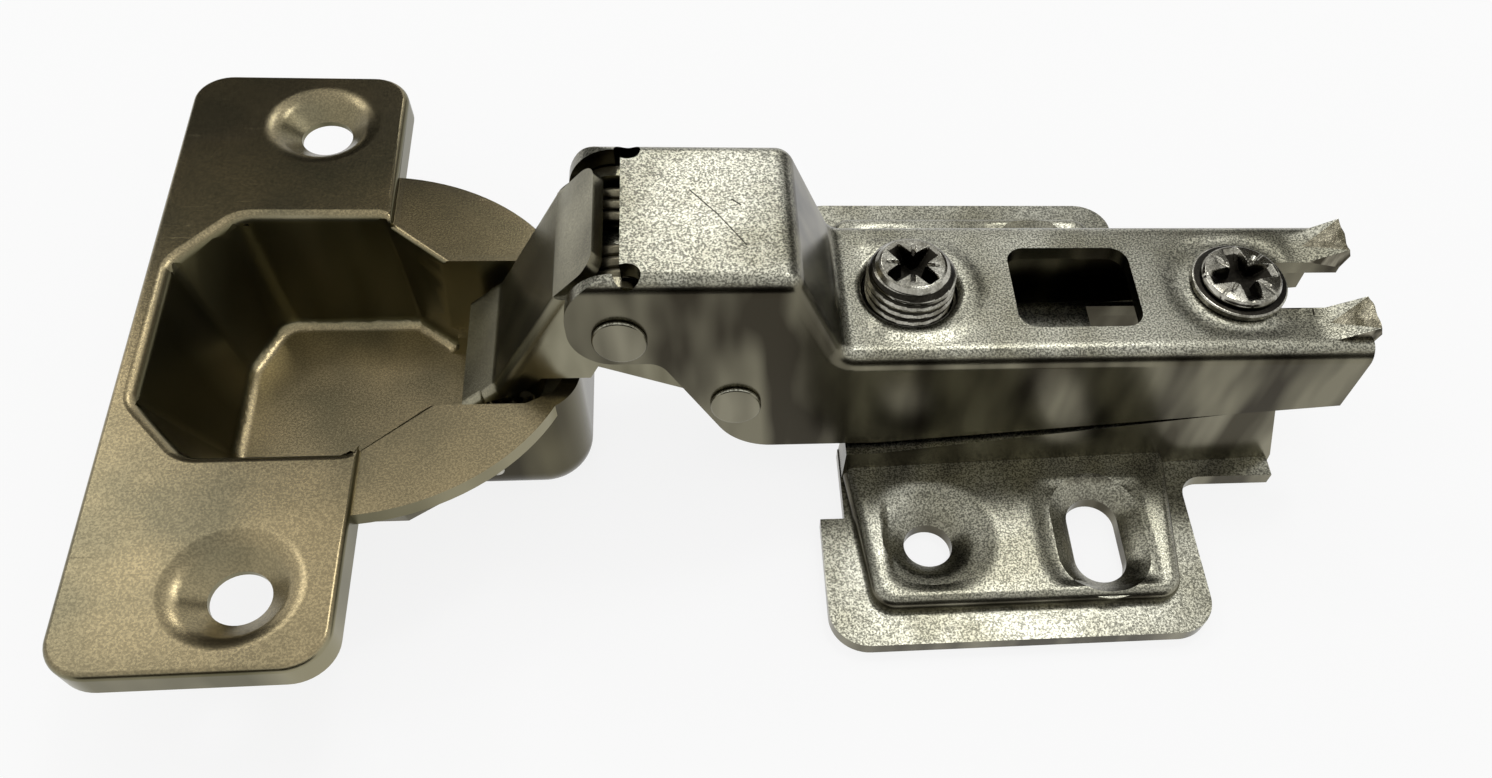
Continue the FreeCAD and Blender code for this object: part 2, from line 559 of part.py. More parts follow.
def make_inner_link():
    """The channel link between the arm's rear rivet and the cup, with a slotted eye at the cup's pin."""
    body = new_body("inner_link")
    full = "2 * inner_half"
    eye = new_sketch(body, "XZ_Plane", "inner_eye")
    circle(eye, *REAR_PIVOT, "inner_eye_radius")
    pad(body, eye, "inner_eye_pad", full, symmetric=True)
    slot_up = "inner_pin_up + slot_eye_lift"
    ends = ("inner_pin_across - slot_eye_front", slot_up), ("inner_pin_across + slot_eye_rear", slot_up)
    rim = "cup_pin_radius + slot_eye_up + inner_toe_wall"
    cheek = new_sketch(body, "XZ_Plane", "inner_cheek")
    polygon(cheek, [
        ("inner_pin_across + slot_eye_rear", "%s + %s" % (slot_up, rim)), ("arch_front", "arch_top"),
        ("arch_rear", "arch_top"), ("rear_pivot_across + 0.17 * inner_eye_radius", "rear_pivot_up + 0.97 * inner_eye_radius"),
        REAR_PIVOT, ("rear_pivot_across - 0.3 * inner_eye_radius", "rear_pivot_up - 0.94 * inner_eye_radius"),
        ("arch_low_rear", "rim_pass_up"), ("arch_low_front", "rim_pass_up"),
        ("inner_pin_across + slot_eye_rear + 0.8 * (%s)" % rim, "%s - 0.5 * (%s)" % (slot_up, rim)),
        ("inner_pin_across + slot_eye_rear", "%s - (%s)" % (slot_up, rim)),
    ])
    pad(body, cheek, "inner_cheek_pad", full, symmetric=True)
    toe = new_sketch(body, "XZ_Plane", "inner_toe")
    long_hole(toe, *ends, rim)
    pad(body, toe, "inner_toe_pad", full, symmetric=True)
    under = "arch_top - inner_wall"
    between = new_sketch(body, "XZ_Plane", "inner_between")
    polygon(between, [
        ("inner_pin_across - 2 * inner_half", "0"), ("inner_pin_across - 2 * inner_half", "arch_top + inner_half"),
        ("arch_front + inner_wall", "arch_top + inner_half"), ("arch_front + inner_wall", under), ("arch_rear", under),
        ("arch_web_rear", "%s - 0.4 * inner_wall" % under), ("arch_web_rear", "arch_top + inner_half"),
        ("rear_pivot_across + inner_half", "arch_top + inner_half"), ("rear_pivot_across + inner_half", "0"),
    ])
    pocket(body, between, "inner_between_cut", "2 * (inner_half - inner_wall)", symmetric=True)
    holes = new_sketch(body, "XZ_Plane", "inner_holes")
    circle(holes, *REAR_PIVOT, "rivet_radius + running_gap")
    long_hole(holes, *ends, "cup_pin_radius + slot_eye_up")
    pocket(body, holes, "inner_holes_cut", "3 * inner_half", symmetric=True)


def dimpled_hole(body, name, outline, radius, top, depth, rise, sheet_top, lip):
    """A screw hole in a pressed cone, with a lip below it; outline draws its shape with the radius it is given."""
    boss = new_sketch(body, "XY_Plane", name + "_boss", "%s - %s - %s" % (top, depth, lip))
    outline(boss, "%s + %s + plate_sheet / 3" % (radius, rise))
    pad(body, boss, name + "_boss_pad", "%s + %s - %s" % (depth, lip, sheet_top))
    cone = new_sketch(body, "XY_Plane", name + "_cone", top)
    outline(cone, "%s + %s" % (radius, rise))
    pocket(body, cone, name + "_cone_cut", depth, taper="-atan((%s) / (%s))" % (rise, depth))
    bore = new_sketch(body, "XY_Plane", name + "_bore", top)
    outline(bore, radius)
    pocket(body, bore, name + "_bore_cut", "%s + %s + plate_sheet" % (depth, lip))


def make_cup():
    """The drawn cup: wings with a turned down edge, half round leaves, bowl and the channel for the links."""
    body = new_body("hinge_cup")
    back, front = "cup_across - wing_back", "cup_across + wing_front"
    leaves = new_sketch(body, "XY_Plane", "cup_leaves", "cup_depth - leaf_drop - flange_sheet")
    circle(leaves, "cup_across", "0", "leaf_radius")
    pad(body, leaves, "cup_leaves_pad", "flange_sheet")
    chord = new_sketch(body, "XY_Plane", "cup_chord", "cup_depth")
    polygon(chord, mirrored([
        ("%s - flange_sheet" % front, "leaf_radius + flange_sheet"),
        ("cup_across - leaf_radius - flange_sheet", "leaf_radius + flange_sheet"),
    ]))
    pocket(body, chord, "cup_chord_cut", "cup_depth")
    wings = new_sketch(body, "XY_Plane", "cup_wings", "cup_depth - flange_edge")
    polygon(wings, mirrored([(front, "wing_half"), (back, "wing_half")]))
    pad(body, wings, "cup_wings_pad", "flange_edge")
    corners = [(x, y) for x in (back, front) for y in ("wing_half", "-wing_half")]
    rounded(body, "cup_wing_round", "wing_round", through_corner(corners, (0, 1)))
    hollow = new_sketch(body, "XY_Plane", "cup_hollow", "cup_depth - flange_edge")
    polygon(hollow, mirrored([
        ("%s - flange_sheet" % front, "wing_half - flange_sheet"), ("%s + flange_sheet" % back, "wing_half - flange_sheet"),
    ]))
    pocket(body, hollow, "cup_hollow_cut", "flange_edge - flange_sheet", backwards=True)

    def rim(kind, grown):
        """The bowl's eight corners at its mouth or at its floor, grown outward."""
        back, back_half, shoulder, half, start, neck = [
            kind[0] + "_back", kind[0] + "_back_half", kind[0] + "_shoulder", kind[0] + "_half",
            kind[0] + "_front", kind[0] + "_neck",
        ]
        return mirrored([
            ("cup_across + %s + %s" % (neck, grown), "tail_half - %s + %s" % (kind[1], grown)),
            ("cup_across + %s + 0.4 * %s" % (start, grown), "%s + %s" % (half, grown)),
            ("cup_across - %s - 0.4 * %s" % (shoulder, grown), "%s + %s" % (half, grown)),
            ("cup_across - %s - %s" % (back, grown), "%s + 0.4 * %s" % (back_half, grown)),
        ])

    def frustum(kind, name, grown, low, high):
        """Loft from the floor's outline at low to the mouth's outline at high."""
        floor = new_sketch(body, "XY_Plane", name + "_floor", low)
        polygon(floor, rim(("floor", "0.5"), grown))
        mouth = new_sketch(body, "XY_Plane", name + "_mouth", high)
        polygon(mouth, rim(("bowl", "0"), grown))
        doc.recompute()
        loft = body.newObject("PartDesign::" + kind, name)
        loft.Profile = floor
        loft.Sections = [mouth]
        loft.Ruled = True
        doc.recompute()

    frustum("AdditiveLoft", "cup_bowl", "cup_wall", "0", "cup_depth - flange_sheet / 2")
    tail = new_sketch(body, "XY_Plane", "cup_tail")
    tail_end = "cup_across + leaf_radius"
    tail_edge = "tail_half + cup_wall"
    polygon(tail, mirrored([(tail_end, tail_edge), ("cup_across - bowl_front", tail_edge)]))
    pad(body, tail, "cup_tail_pad", "cup_depth - leaf_drop")
    rounded(body, "cup_tail_round", "tail_corner", through_corner([(tail_end, tail_edge), (tail_end, "-(%s)" % tail_edge)], (0, 1)))
    turn = value("cup_across + bowl_neck + cup_wall")

    def floor_edge(edge, low, high):
        return near(low.z, 0) and near(high.z, 0) and high.x > turn

    before = body.Shape.Volume
    frustum("SubtractiveLoft", "cup_cave", "0", "cup_wall", "cup_depth")
    if body.Shape.Volume > before - 1:
        raise RuntimeError("the bowl's cave cuts nothing")
    floor_line, mouth_line, neck_line = value("cup_wall"), value("cup_depth"), value("cup_across + bowl_neck")

    middle = value("cup_across")

    def back_crease(edge, low, high):
        return near(low.z, floor_line) and near(high.z, mouth_line) and high.x < middle

    def front_crease(edge, low, high):
        return near(low.z, floor_line) and near(high.z, mouth_line) and middle < low.x and high.x < value("cup_across + floor_front") + 0.01

    rounded(body, "cup_bowl_creases", "bowl_crease", back_crease)
    rounded(body, "cup_bowl_shoulders", "bowl_shoulder_round", front_crease)

    def foot(edge, low, high):
        return near(low.z, floor_line) and near(high.z, floor_line) and low.x < neck_line - 0.5

    rounded(body, "cup_bowl_foot", "bowl_foot", foot)
    channel = new_sketch(body, "XY_Plane", "cup_channel", "cup_depth")
    inner_end = "%s - cup_wall" % tail_end
    polygon(channel, mirrored([
        (inner_end, "tail_half - tail_corner + cup_wall"), ("%s - 0.35 * (tail_corner - cup_wall)" % inner_end, "tail_half - 0.35 * (tail_corner - cup_wall)"),
        ("%s - tail_corner + cup_wall" % inner_end, "tail_half"), ("cup_across - bowl_front", "tail_half"),
    ]))
    pocket(body, channel, "cup_channel_cut", "cup_depth - tail_bottom")
    trough = new_sketch(body, "XY_Plane", "cup_trough", "cup_depth")
    shy = "(tail_bottom - cup_wall) * 0.6"
    polygon(trough, mirrored([
        ("%s - %s" % (inner_end, shy), "tail_half - tail_corner + cup_wall - %s * 0.4" % shy),
        ("%s - tail_corner + cup_wall - %s * 0.4" % (inner_end, shy), "tail_half - %s" % shy),
        ("cup_across - bowl_front", "tail_half - %s" % shy),
    ]))
    pocket(body, trough, "cup_trough_cut", "cup_depth - cup_wall")
    rounded(body, "cup_floor_round", "tail_bottom", floor_edge)
    top, outside = value("cup_depth"), value("tail_half + cup_wall + flange_edge")

    def wing_edge(edge, low, high):
        return near(low.z, top) and near(high.z, top) and max(abs(low.y), abs(high.y)) > outside + 5 and (
            high.x < value(back) + value("wing_round") + 0.01 or low.x > value(front) - value("wing_round") - 0.01
            or min(abs(low.y), abs(high.y)) > value("wing_half") - 0.01)

    rounded(body, "cup_edge_round", "edge_round", wing_edge)
    for name, across, up in (("outer", *OUTER_PIN), ("inner", *INNER_PIN)):
        hole = new_sketch(body, "XZ_Plane", "cup_%s_hole" % name)
        circle(hole, across, up, "cup_pin_radius")
        pocket(body, hole, "cup_%s_hole_cut" % name, "4 * tail_half", symmetric=True)
    for index, sign in enumerate((1, -1)):
        middle = "%d * door_hole_half" % sign

        def outline(sketch, radius):
            circle(sketch, "cup_across - door_hole_back", middle, radius)

        dimpled_hole(body, "door_hole_%d" % index, outline, "door_hole_radius", "cup_depth", "door_dimple_depth",
                     "door_dimple_radius - door_hole_radius", "0.3 * flange_sheet", "plate_sheet / 3")


def make_plate():
    """The mounting plate: a flat rim, two raised decks with holes and the hump that carries the arm."""
    body = new_body("mounting_plate")
    rim = new_sketch(body, "XY_Plane", "plate_rim")
    polygon(rim, mirrored([
        ("plate_tail", "tail_strip_half"), ("plate_rear", "tail_strip_half"), ("plate_rear", "plate_half"),
        ("plate_front", "plate_half"), ("plate_front", "plate_notch"), ("hump_front", "plate_notch"),
    ]))
    pad(body, rim, "plate_rim_pad", "plate_sheet")
    outer = [(x, y) for x in ("plate_front", "plate_rear") for y in ("plate_half", "-plate_half")]
    rounded(body, "plate_corner_round", "plate_round", through_corner(outer, (0, 1)))
    inner = [("plate_rear", "tail_strip_half"), ("plate_rear", "-tail_strip_half")]
    rounded(body, "plate_inner_round", "plate_round * 0.6", through_corner(inner, (0, 1)))
    deck = new_sketch(body, "XY_Plane", "plate_deck")
    polygon(deck, mirrored([
        ("deck_rear + deck_slant", "hump_foot_half"), ("deck_rear", "deck_half"),
        ("deck_front", "deck_half"), ("deck_front - deck_slant", "hump_foot_half"),
    ]))
    pad(body, deck, "plate_deck_pad", "deck_top")
    spots = [("deck_rear", "deck_half"), ("deck_front", "deck_half"), ("deck_rear", "-deck_half"), ("deck_front", "-deck_half")]
    rounded(body, "plate_deck_corners", "2.2 * deck_round", through_corner(spots, (0, 1)))
    deck_line = value("deck_top")

    def deck_edge(edge, low, high):
        return near(low.z, deck_line) and near(high.z, deck_line)

    rounded(body, "plate_deck_round", "deck_round", deck_edge)
    under = new_sketch(body, "XY_Plane", "plate_under")
    polygon(under, mirrored([
        ("deck_rear - plate_sheet", "deck_half - plate_sheet"), ("deck_front + plate_sheet", "deck_half - plate_sheet"),
    ]))
    pocket(body, under, "plate_under_cut", "deck_top - plate_sheet", backwards=True)

    shoulder = new_sketch(body, "XY_Plane", "hump_shoulder")
    polygon(shoulder, mirrored([
        ("hump_rear + hump_slant", "hump_rear_half"), ("hump_front", "hump_foot_half"),
    ]))
    pad(body, shoulder, "hump_shoulder_pad", "hump_top", taper="-hump_draft")
    above = new_sketch(body, "XZ_Plane", "hump_above")
    polygon(above, [
        ("hump_front - hump_top", "hump_low"), ("hump_low_rear", "hump_low"), ("hump_rear", "hump_high"),
        ("hump_rear + hump_slant", "plate_sheet"), ("hump_rear + 2 * hump_slant", "plate_sheet"),
        ("hump_rear + 2 * hump_slant", "2 * hump_top"), ("hump_front - hump_top", "2 * hump_top"),
    ])
    pocket(body, above, "hump_above_cut", "4 * hump_foot_half", symmetric=True)
    rib = new_sketch(body, "XY_Plane", "hump_rib", "hump_low / 2")
    polygon(rib, mirrored([("hump_rear - plate_sheet / 2", "hump_half"), ("hump_front", "hump_half")]))
    pad(body, rib, "hump_rib_pad", "hump_top - hump_low / 2")
    top, wide = value("hump_top"), value("hump_half")

    def rib_edge(edge, low, high):
        return near(low.z, top) and near(high.z, top) and near(low.y, high.y) and near(abs(low.y), wide)

    rounded(body, "hump_rib_round", "hump_round", rib_edge)
    low_room = new_sketch(body, "XZ_Plane", "hump_low_room")
    polygon(low_room, [
        ("hump_front - hump_top", "hump_low - plate_sheet"), ("hump_low_rear", "hump_low - plate_sheet"),
        ("hump_rear - 2 * plate_sheet", "hump_high - plate_sheet * 1.2"), ("hump_rear - plate_sheet", "-plate_sheet"),
        ("hump_front - hump_top", "-plate_sheet"),
    ])
    pocket(body, low_room, "hump_low_cut", "2 * (hump_rear_half - 1.7 * plate_sheet)", symmetric=True)
    high_room = new_sketch(body, "XZ_Plane", "hump_high_room")
    polygon(high_room, [
        ("hump_front - hump_top", "hump_top - plate_sheet"), ("hump_rear - 2 * plate_sheet", "hump_top - plate_sheet"),
        ("hump_rear - plate_sheet", "-plate_sheet"), ("hump_front - hump_top", "-plate_sheet"),
    ])
    pocket(body, high_room, "hump_high_cut", "2 * (hump_half - plate_sheet)", symmetric=True)
    nut = new_sketch(body, "XY_Plane", "hump_nut", "hump_top - plate_sheet - nut_depth")
    circle(nut, "fixing_across", "0", "nut_radius")
    pad(body, nut, "hump_nut_pad", "nut_depth + plate_sheet / 2")
    tapped = new_sketch(body, "XY_Plane", "hump_tapped", "hump_top + plate_sheet")
    circle(tapped, "fixing_across", "0", "fixing_radius + thread_gap")
    pocket(body, tapped, "hump_tapped_cut", "2 * hump_top")
    opening = new_sketch(body, "XY_Plane", "hump_opening", "hump_top + plate_sheet")
    polygon(opening, mirrored([("hump_window_rear", "hump_window_half"), ("hump_window_front", "hump_window_half")]))
    pocket(body, opening, "hump_opening_cut", "3 * plate_sheet")
    track = new_sketch(body, "XY_Plane", "hump_track", "hump_top + plate_sheet")
    long_hole(track, ("hump_front - hump_top", "0"), ("track_rear - track_half", "0"), "track_half")
    pocket(body, track, "hump_track_cut", "3 * plate_sheet")

    for index, sign in enumerate((1, -1)):
        middle = "%d * panel_hole_half" % sign

        def round_hole(sketch, radius):
            circle(sketch, "0", middle, radius)

        dimpled_hole(body, "panel_hole_%d" % index, round_hole, "panel_hole_radius", "deck_top", "panel_dimple_depth",
                     "panel_dimple_rise", "0.3 * plate_sheet", "(deck_top - panel_dimple_depth)")

        def slot_hole(sketch, radius):
            reach = "(panel_slot_length / 2 - panel_slot_radius)"
            low, high = "%s - %s" % (middle, reach), "%s + %s" % (middle, reach)
            long_hole(sketch, ("panel_slot_across", low), ("panel_slot_across", high), radius)

        dimpled_hole(body, "panel_slot_%d" % index, slot_hole, "panel_slot_radius", "deck_top", "panel_dimple_depth",
                     "panel_dimple_rise * 0.9", "0.3 * plate_sheet", "(deck_top - panel_dimple_depth)")


def turned_screw(name, across, steps):
    """A screw on an upright axis; steps lists radius, lower end and height of each cylinder."""
    body = new_body(name)
    for index, (radius, low, height) in enumerate(steps):
        sketch = new_sketch(body, "XY_Plane", "%s_step_%d" % (name, index), low)
        circle(sketch, across, "0", radius)
        pad(body, sketch, "%s_step_pad_%d" % (name, index), height)
    return body


def cross_recess(body, name, across, top, reach):
    """A cross recess cut down from the top."""
    for index, turned in enumerate((False, True)):
        sketch = new_sketch(body, "XY_Plane", "%s_recess_%d" % (name, index), top)
        across_half, up_half = ("recess_arm", reach) if turned else (reach, "recess_arm")
        left, right = "%s - (%s)" % (across, across_half), "%s + (%s)" % (across, across_half)
        polygon(sketch, mirrored([(right, up_half), (left, up_half)]))
        pocket(body, sketch, "%s_recess_cut_%d" % (name, index), "recess_depth")


def make_screws():
    """The overlay screw in the arm and the fixing screw in the hump."""
    shoulder = "hump_top + foot_gap"
    foot = "hump_top - plate_sheet - foot_gap - overlay_foot_height"
    overlay = turned_screw("overlay_screw", "overlay_across", [
        ("overlay_radius", shoulder, "overlay_top - (%s)" % shoulder),
        ("overlay_neck_radius", foot, "hump_top - (%s)" % foot + " + 2 * foot_gap"),
        ("overlay_foot_radius", foot, "overlay_foot_height"),
    ])
    high, low, wide = value("overlay_top"), value(shoulder), value("overlay_radius")

    def screw_rim(edge, lowest, highest):
        at_end = near(lowest.z, highest.z) and (near(lowest.z, high) or near(lowest.z, low))
        return at_end and near(highest.x - lowest.x, 2 * wide)

    rounded(overlay, "overlay_ends", "overlay_chamfer", screw_rim)
    cross_recess(overlay, "overlay", "overlay_across", "overlay_top", "0.6 * overlay_radius")
    seat = "arm_top + seat_gap"
    fixing = turned_screw("fixing_screw", "fixing_across", [
        ("fixing_head_radius", seat, "fixing_collar"),
        ("fixing_head_radius * 0.85", "%s + fixing_collar / 2" % seat, "fixing_head_height - fixing_collar / 2"),
        ("fixing_radius", "fixing_end", "%s + fixing_collar / 2 - fixing_end" % seat),
    ])
    cross_recess(fixing, "fixing", "fixing_across", "%s + fixing_head_height" % seat, "0.5 * fixing_head_radius")


def make_pins():
    """The two rivets, the bush under the spring and the two pins in the cup."""
    rod("front_rivet", "rivet_radius", "arm_half", *FRONT_PIVOT, "rivet_head_radius", "rivet_head_height")
    rod("rear_rivet", "rivet_radius", "arm_half", *REAR_PIVOT, "rivet_head_radius", "rivet_head_height")
    rod("outer_cup_pin", "cup_pin_radius", "tail_half + cup_wall + pin_reach", *OUTER_PIN)
    rod("inner_cup_pin", "cup_pin_radius", "tail_half + cup_wall + pin_reach", *INNER_PIN)
    bush = rod("front_bush", "bush_radius", "link_half - link_wall - side_gap", *FRONT_PIVOT)
    bore = new_sketch(bush, "XZ_Plane", "front_bush_bore")
    circle(bore, *FRONT_PIVOT, "rivet_radius")
    pocket(bush, bore, "front_bush_bore_cut", "3 * link_half", symmetric=True)


def make_spring():
    """The closing spring: two coils around the bush, joined by a bridge, each with a leg."""
    body = new_body("closing_spring")
    coil = "(bush_radius + coil_gap + wire / 2)"
    bridge = new_sketch(body, "XZ_Plane", "spring_bridge")
    circle(bridge, "front_pivot_across + %s" % coil, "front_pivot_up", "wire * 0.48")
    pad(body, bridge, "spring_bridge_pad", "2 * coil_start + wire / 3", symmetric=True)
    for index, sign in enumerate((1, -1)):
        section = new_sketch(body, "XY_Plane", "spring_section_%d" % index, "front_pivot_up")
        section.setExpression("AttachmentOffset.Base.x", "dims.front_pivot_across")
        circle(section, coil, "%d * coil_start" % sign, "wire / 2")
        doc.recompute()
        turns = body.newObject("PartDesign::AdditiveHelix", "spring_coil_%d" % index)
        turns.Profile = section
        turns.ReferenceAxis = (section, ["V_Axis"])
        turns.Mode = "pitch-turns-angle"
        turns.setExpression("Pitch", bound("wire + coil_space"))
        turns.setExpression("Turns", "dims.coil_turns")
        turns.Reversed = sign < 0
        turns.LeftHanded = False
        doc.recompute()
        leg = new_sketch(body, "XY_Plane", "spring_leg_%d" % index, "front_pivot_up")
        circle(leg, "front_pivot_across - %s" % coil, "%d * (coil_start + coil_turns * (wire + coil_space))" % sign, "wire * 0.48")
        pad(body, leg, "spring_leg_pad_%d" % index, "spring_leg", backwards=True)


def main():
    """Build every piece, check it and write its file."""
    make_plate()
    make_arm()
    make_outer_link()
    make_inner_link()
    make_cup()
    make_pins()
    make_screws()
    make_spring()
    finish()


def finish():
    """Stop if anything failed, then write one file for each piece."""
    doc.recompute()
    for item in doc.Objects:
        if "Invalid" in item.State or "Error" in item.State:
            raise RuntimeError("%s is in state %s" % (item.Name, item.State))
    os.makedirs("parts", exist_ok=True)
    for body in bodies:
        shape = body.Shape
        if shape.isNull() or not shape.isValid() or not shape.Solids:
            raise RuntimeError("%s has no valid solid" % body.Label)
        print(body.Label, len(shape.Solids), round(shape.Volume, 2), shape.BoundBox)
    for body in bodies:
        body.Shape.exportStep("parts/%s.step" % body.Label)


main()
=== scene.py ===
"""Looks of a concealed cup hinge in pressed, nickel plated steel, on a pale studio floor."""
from __future__ import annotations

import logging
import math
from collections.abc import Sequence
from dataclasses import dataclass
from enum import Enum

import bmesh
import bpy
import numpy as np
from mathutils import Euler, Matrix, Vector

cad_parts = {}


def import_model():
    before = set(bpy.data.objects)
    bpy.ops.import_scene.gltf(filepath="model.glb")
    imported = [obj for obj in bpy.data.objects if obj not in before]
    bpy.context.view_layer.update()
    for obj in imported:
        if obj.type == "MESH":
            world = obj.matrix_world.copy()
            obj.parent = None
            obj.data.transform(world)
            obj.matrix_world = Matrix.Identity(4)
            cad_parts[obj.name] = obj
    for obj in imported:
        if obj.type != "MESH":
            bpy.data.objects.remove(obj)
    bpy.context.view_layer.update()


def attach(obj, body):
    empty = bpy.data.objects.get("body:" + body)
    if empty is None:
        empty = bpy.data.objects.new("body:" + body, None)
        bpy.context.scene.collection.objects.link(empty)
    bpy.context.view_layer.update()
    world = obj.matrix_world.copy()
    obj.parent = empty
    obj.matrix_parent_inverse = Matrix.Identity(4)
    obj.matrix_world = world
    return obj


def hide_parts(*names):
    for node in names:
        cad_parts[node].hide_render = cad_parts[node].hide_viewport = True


LOG = logging.getLogger("hinge")
MM = 0.001
# Points closer than this, in metres, are one point
WELD = 2e-6
# Facets that turn by less than this, in degrees, are one flat
FACET_DEG = 0.6
# Farther out than any point of the hinge, in millimetres
FAR = 99.0
# A cut takes a corner that is closer to it than this, in metres
SNAP = 1e-7
# A face is on a sheet's upper side where its normal's Z is larger than this
UPPER = 0.3
# Points round a screw's top, and rings in it
AROUND = 240
RINGS = 90
# The prongs are squeezed above the first height and worn above the second, in millimetres
TIP_LOW = 15.25
TIP_WORN = 15.3
# Depth of the squeezed waves, and over what way along and up they grow to it, in millimetres
DENT_MM = 0.09
DENT_RUN = 1.5
DENT_RISE = 0.3
# Cuts in each edge of the tips
DENT_CUTS = 7
# A face is on the drum's outside where its normal leads away from the middle by this, in millimetres
OUTWARD_MM = 2.0
# How far up a normal looks where a flat begins, and where it is a flat in full
# Faces that fall short of it take the walls' darker colours, which are painted shade
UPWARD = (0.50, 0.97)
# Where each noise begins to show, and where it shows in full
SPECKS = (0.42, 0.60)
CLOUDS = (0.36, 0.64)
STREAKS = (0.38, 0.66)
SCRATCHES = (0.66, 0.72)

Pair = tuple[float, float]
Triple = tuple[float, float, float]
Socket = bpy.types.NodeSocket


def linear(colour: str) -> tuple[float, float, float, float]:
    """Turn an sRGB hex colour into linear light.

    Args:
        colour: six hex digits, with or without a leading hash.

    Returns:
        Red, green, blue and an alpha of one.
    """
    digits = colour.lstrip("#")
    shares = [int(digits[i:i + 2], 16) / 255 for i in (0, 2, 4)]
    return (*[s / 12.92 if s <= 0.04045 else ((s + 0.055) / 1.055) ** 2.4 for s in shares], 1.0)


class Plating(Enum):
    """Which plated surface a piece has. The value is the material's name."""

    ARM = "satin nickel on the pressed arm"
    SATIN = "satin nickel on pressed steel"
    LINK = "burnished nickel on the pressed links"
    CUP = "bright nickel on drawn steel"
    SHADED_OUTSIDE = "burnished nickel outside the drawn cup"
    BRIGHT = "zinc on turned steel"
    RECESS_SHADE = "unplated steel in a pressed recess"
    WIRE = "oiled spring wire"
    TIP = "cut steel at the prongs' tips"


class Graph:
    """The node tree of a material or of the room, with short calls for the nodes that repeat."""

    def __init__(self, owner: bpy.types.Material | bpy.types.World) -> None:
        """Empty the owner's tree.

        Args:
            owner: a new material or world.
        """
        owner.use_nodes = True
        self.owner = owner
        self.tree = owner.node_tree
        self.tree.nodes.clear()

    def node(self, kind: str, links: dict[str, object] | None = None, **settings: object) -> bpy.types.Node:
        """Add a node with its settings, socket values and links.

        Args:
            kind: Blender's node type.
            links: socket name or number to a value, or to an output socket that feeds it.
            settings: properties of the node.

        Returns:
            The new node.
        """
        made = self.tree.nodes.new(kind)
        for key, value in settings.items():
            setattr(made, key, value)
        for key, value in (links or {}).items():
            socket = made.inputs[int(key)] if key.isdigit() else made.inputs[key]
            if isinstance(value, bpy.types.NodeSocket):
                self.tree.links.new(value, socket)
            else:
                socket.default_value = value
        return made

    def noise(self, place: Socket, size_mm: float, detail: float, roughness: float) -> Socket:
        """Add a noise between zero and one.

        Args:
            place: the place in metres.
            size_mm: size of its largest features in millimetres.
            detail: how many finer layers it has.
            roughness: how strong the finer layers are.

        Returns:
            The noise.
        """
        links = {"Vector": place, "Scale": 1 / (size_mm * MM), "Detail": detail, "Roughness": roughness}
        return self.node("ShaderNodeTexNoise", links).outputs["Fac"]

    def remap(self, value: Socket, span: Pair, ends: Pair = (0.0, 1.0), kind: str = "LINEAR") -> Socket:
        """Carry a value from one range into another and hold it at both ends.

        Args:
            value: the value.
            span: where it begins and ceases to count.
            ends: what it turns into at those two places.
            kind: how it runs in between.

        Returns:
            The new value.
        """
        links = {
            "Value": value, "From Min": span[0], "From Max": span[1], "To Min": ends[0], "To Max": ends[1]}
        return self.node("ShaderNodeMapRange", links, interpolation_type=kind).outputs[0]

    def vector(self, operation: str, first: object, second: object) -> bpy.types.Node:
        """Add an operation on two vectors, or on a vector and a number that scales it.

        Args:
            operation: its name.
            first: a vector or an output.
            second: a vector, a number or an output.

        Returns:
            The node, because its result has its own output for each operation.
        """
        other = "3" if operation == "SCALE" else "1"
        return self.node("ShaderNodeVectorMath", {"0": first, other: second}, operation=operation)

    def number(self, operation: str, first: Socket, second: object) -> Socket:
        """Add an operation on two numbers.

        Args:
            operation: its name.
            first: an output.
            second: a number or an output.

        Returns:
            The result.
        """
        return self.node("ShaderNodeMath", {"0": first, "1": second}, operation=operation).outputs[0]

    def blend(self, share: Socket, first: object, second: object) -> Socket:
        """Add a mix of two colours.

        Args:
            share: how much of the second colour shows.
            first: a colour or an output.
            second: a colour or an output.

        Returns:
            The mixed colour.
        """
        links = {"0": share, "6": first, "7": second}
        return self.node("ShaderNodeMix", links, data_type="RGBA").outputs[2]


@dataclass(frozen=True)
class Mark:
    """A thin scratch or a stamped tick between two points on a piece, in millimetres."""

    start: Triple
    end: Triple
    width: float

    def share(self, graph: Graph, place: Socket) -> Socket:
        """Work out how much of the mark lies at a place: one within its width, zero farther off.

        Args:
            graph: the material's nodes.
            place: the place in metres.

        Returns:
            An output between zero and one.
        """
        run = Vector(self.end) - Vector(self.start)
        scaled = graph.vector("SCALE", place, 1 / MM).outputs[0]
        away = graph.vector("SUBTRACT", scaled, self.start).outputs[0]
        reach = graph.vector("DOT_PRODUCT", away, run / run.length_squared).outputs["Value"]
        held = graph.node("ShaderNodeClamp", {"Value": reach}).outputs[0]
        along = graph.vector("SCALE", tuple(run), held).outputs[0]
        gap = graph.vector("DISTANCE", away, along).outputs["Value"]
        return graph.remap(gap, (self.width, 2 * self.width), (1.0, 0.0))


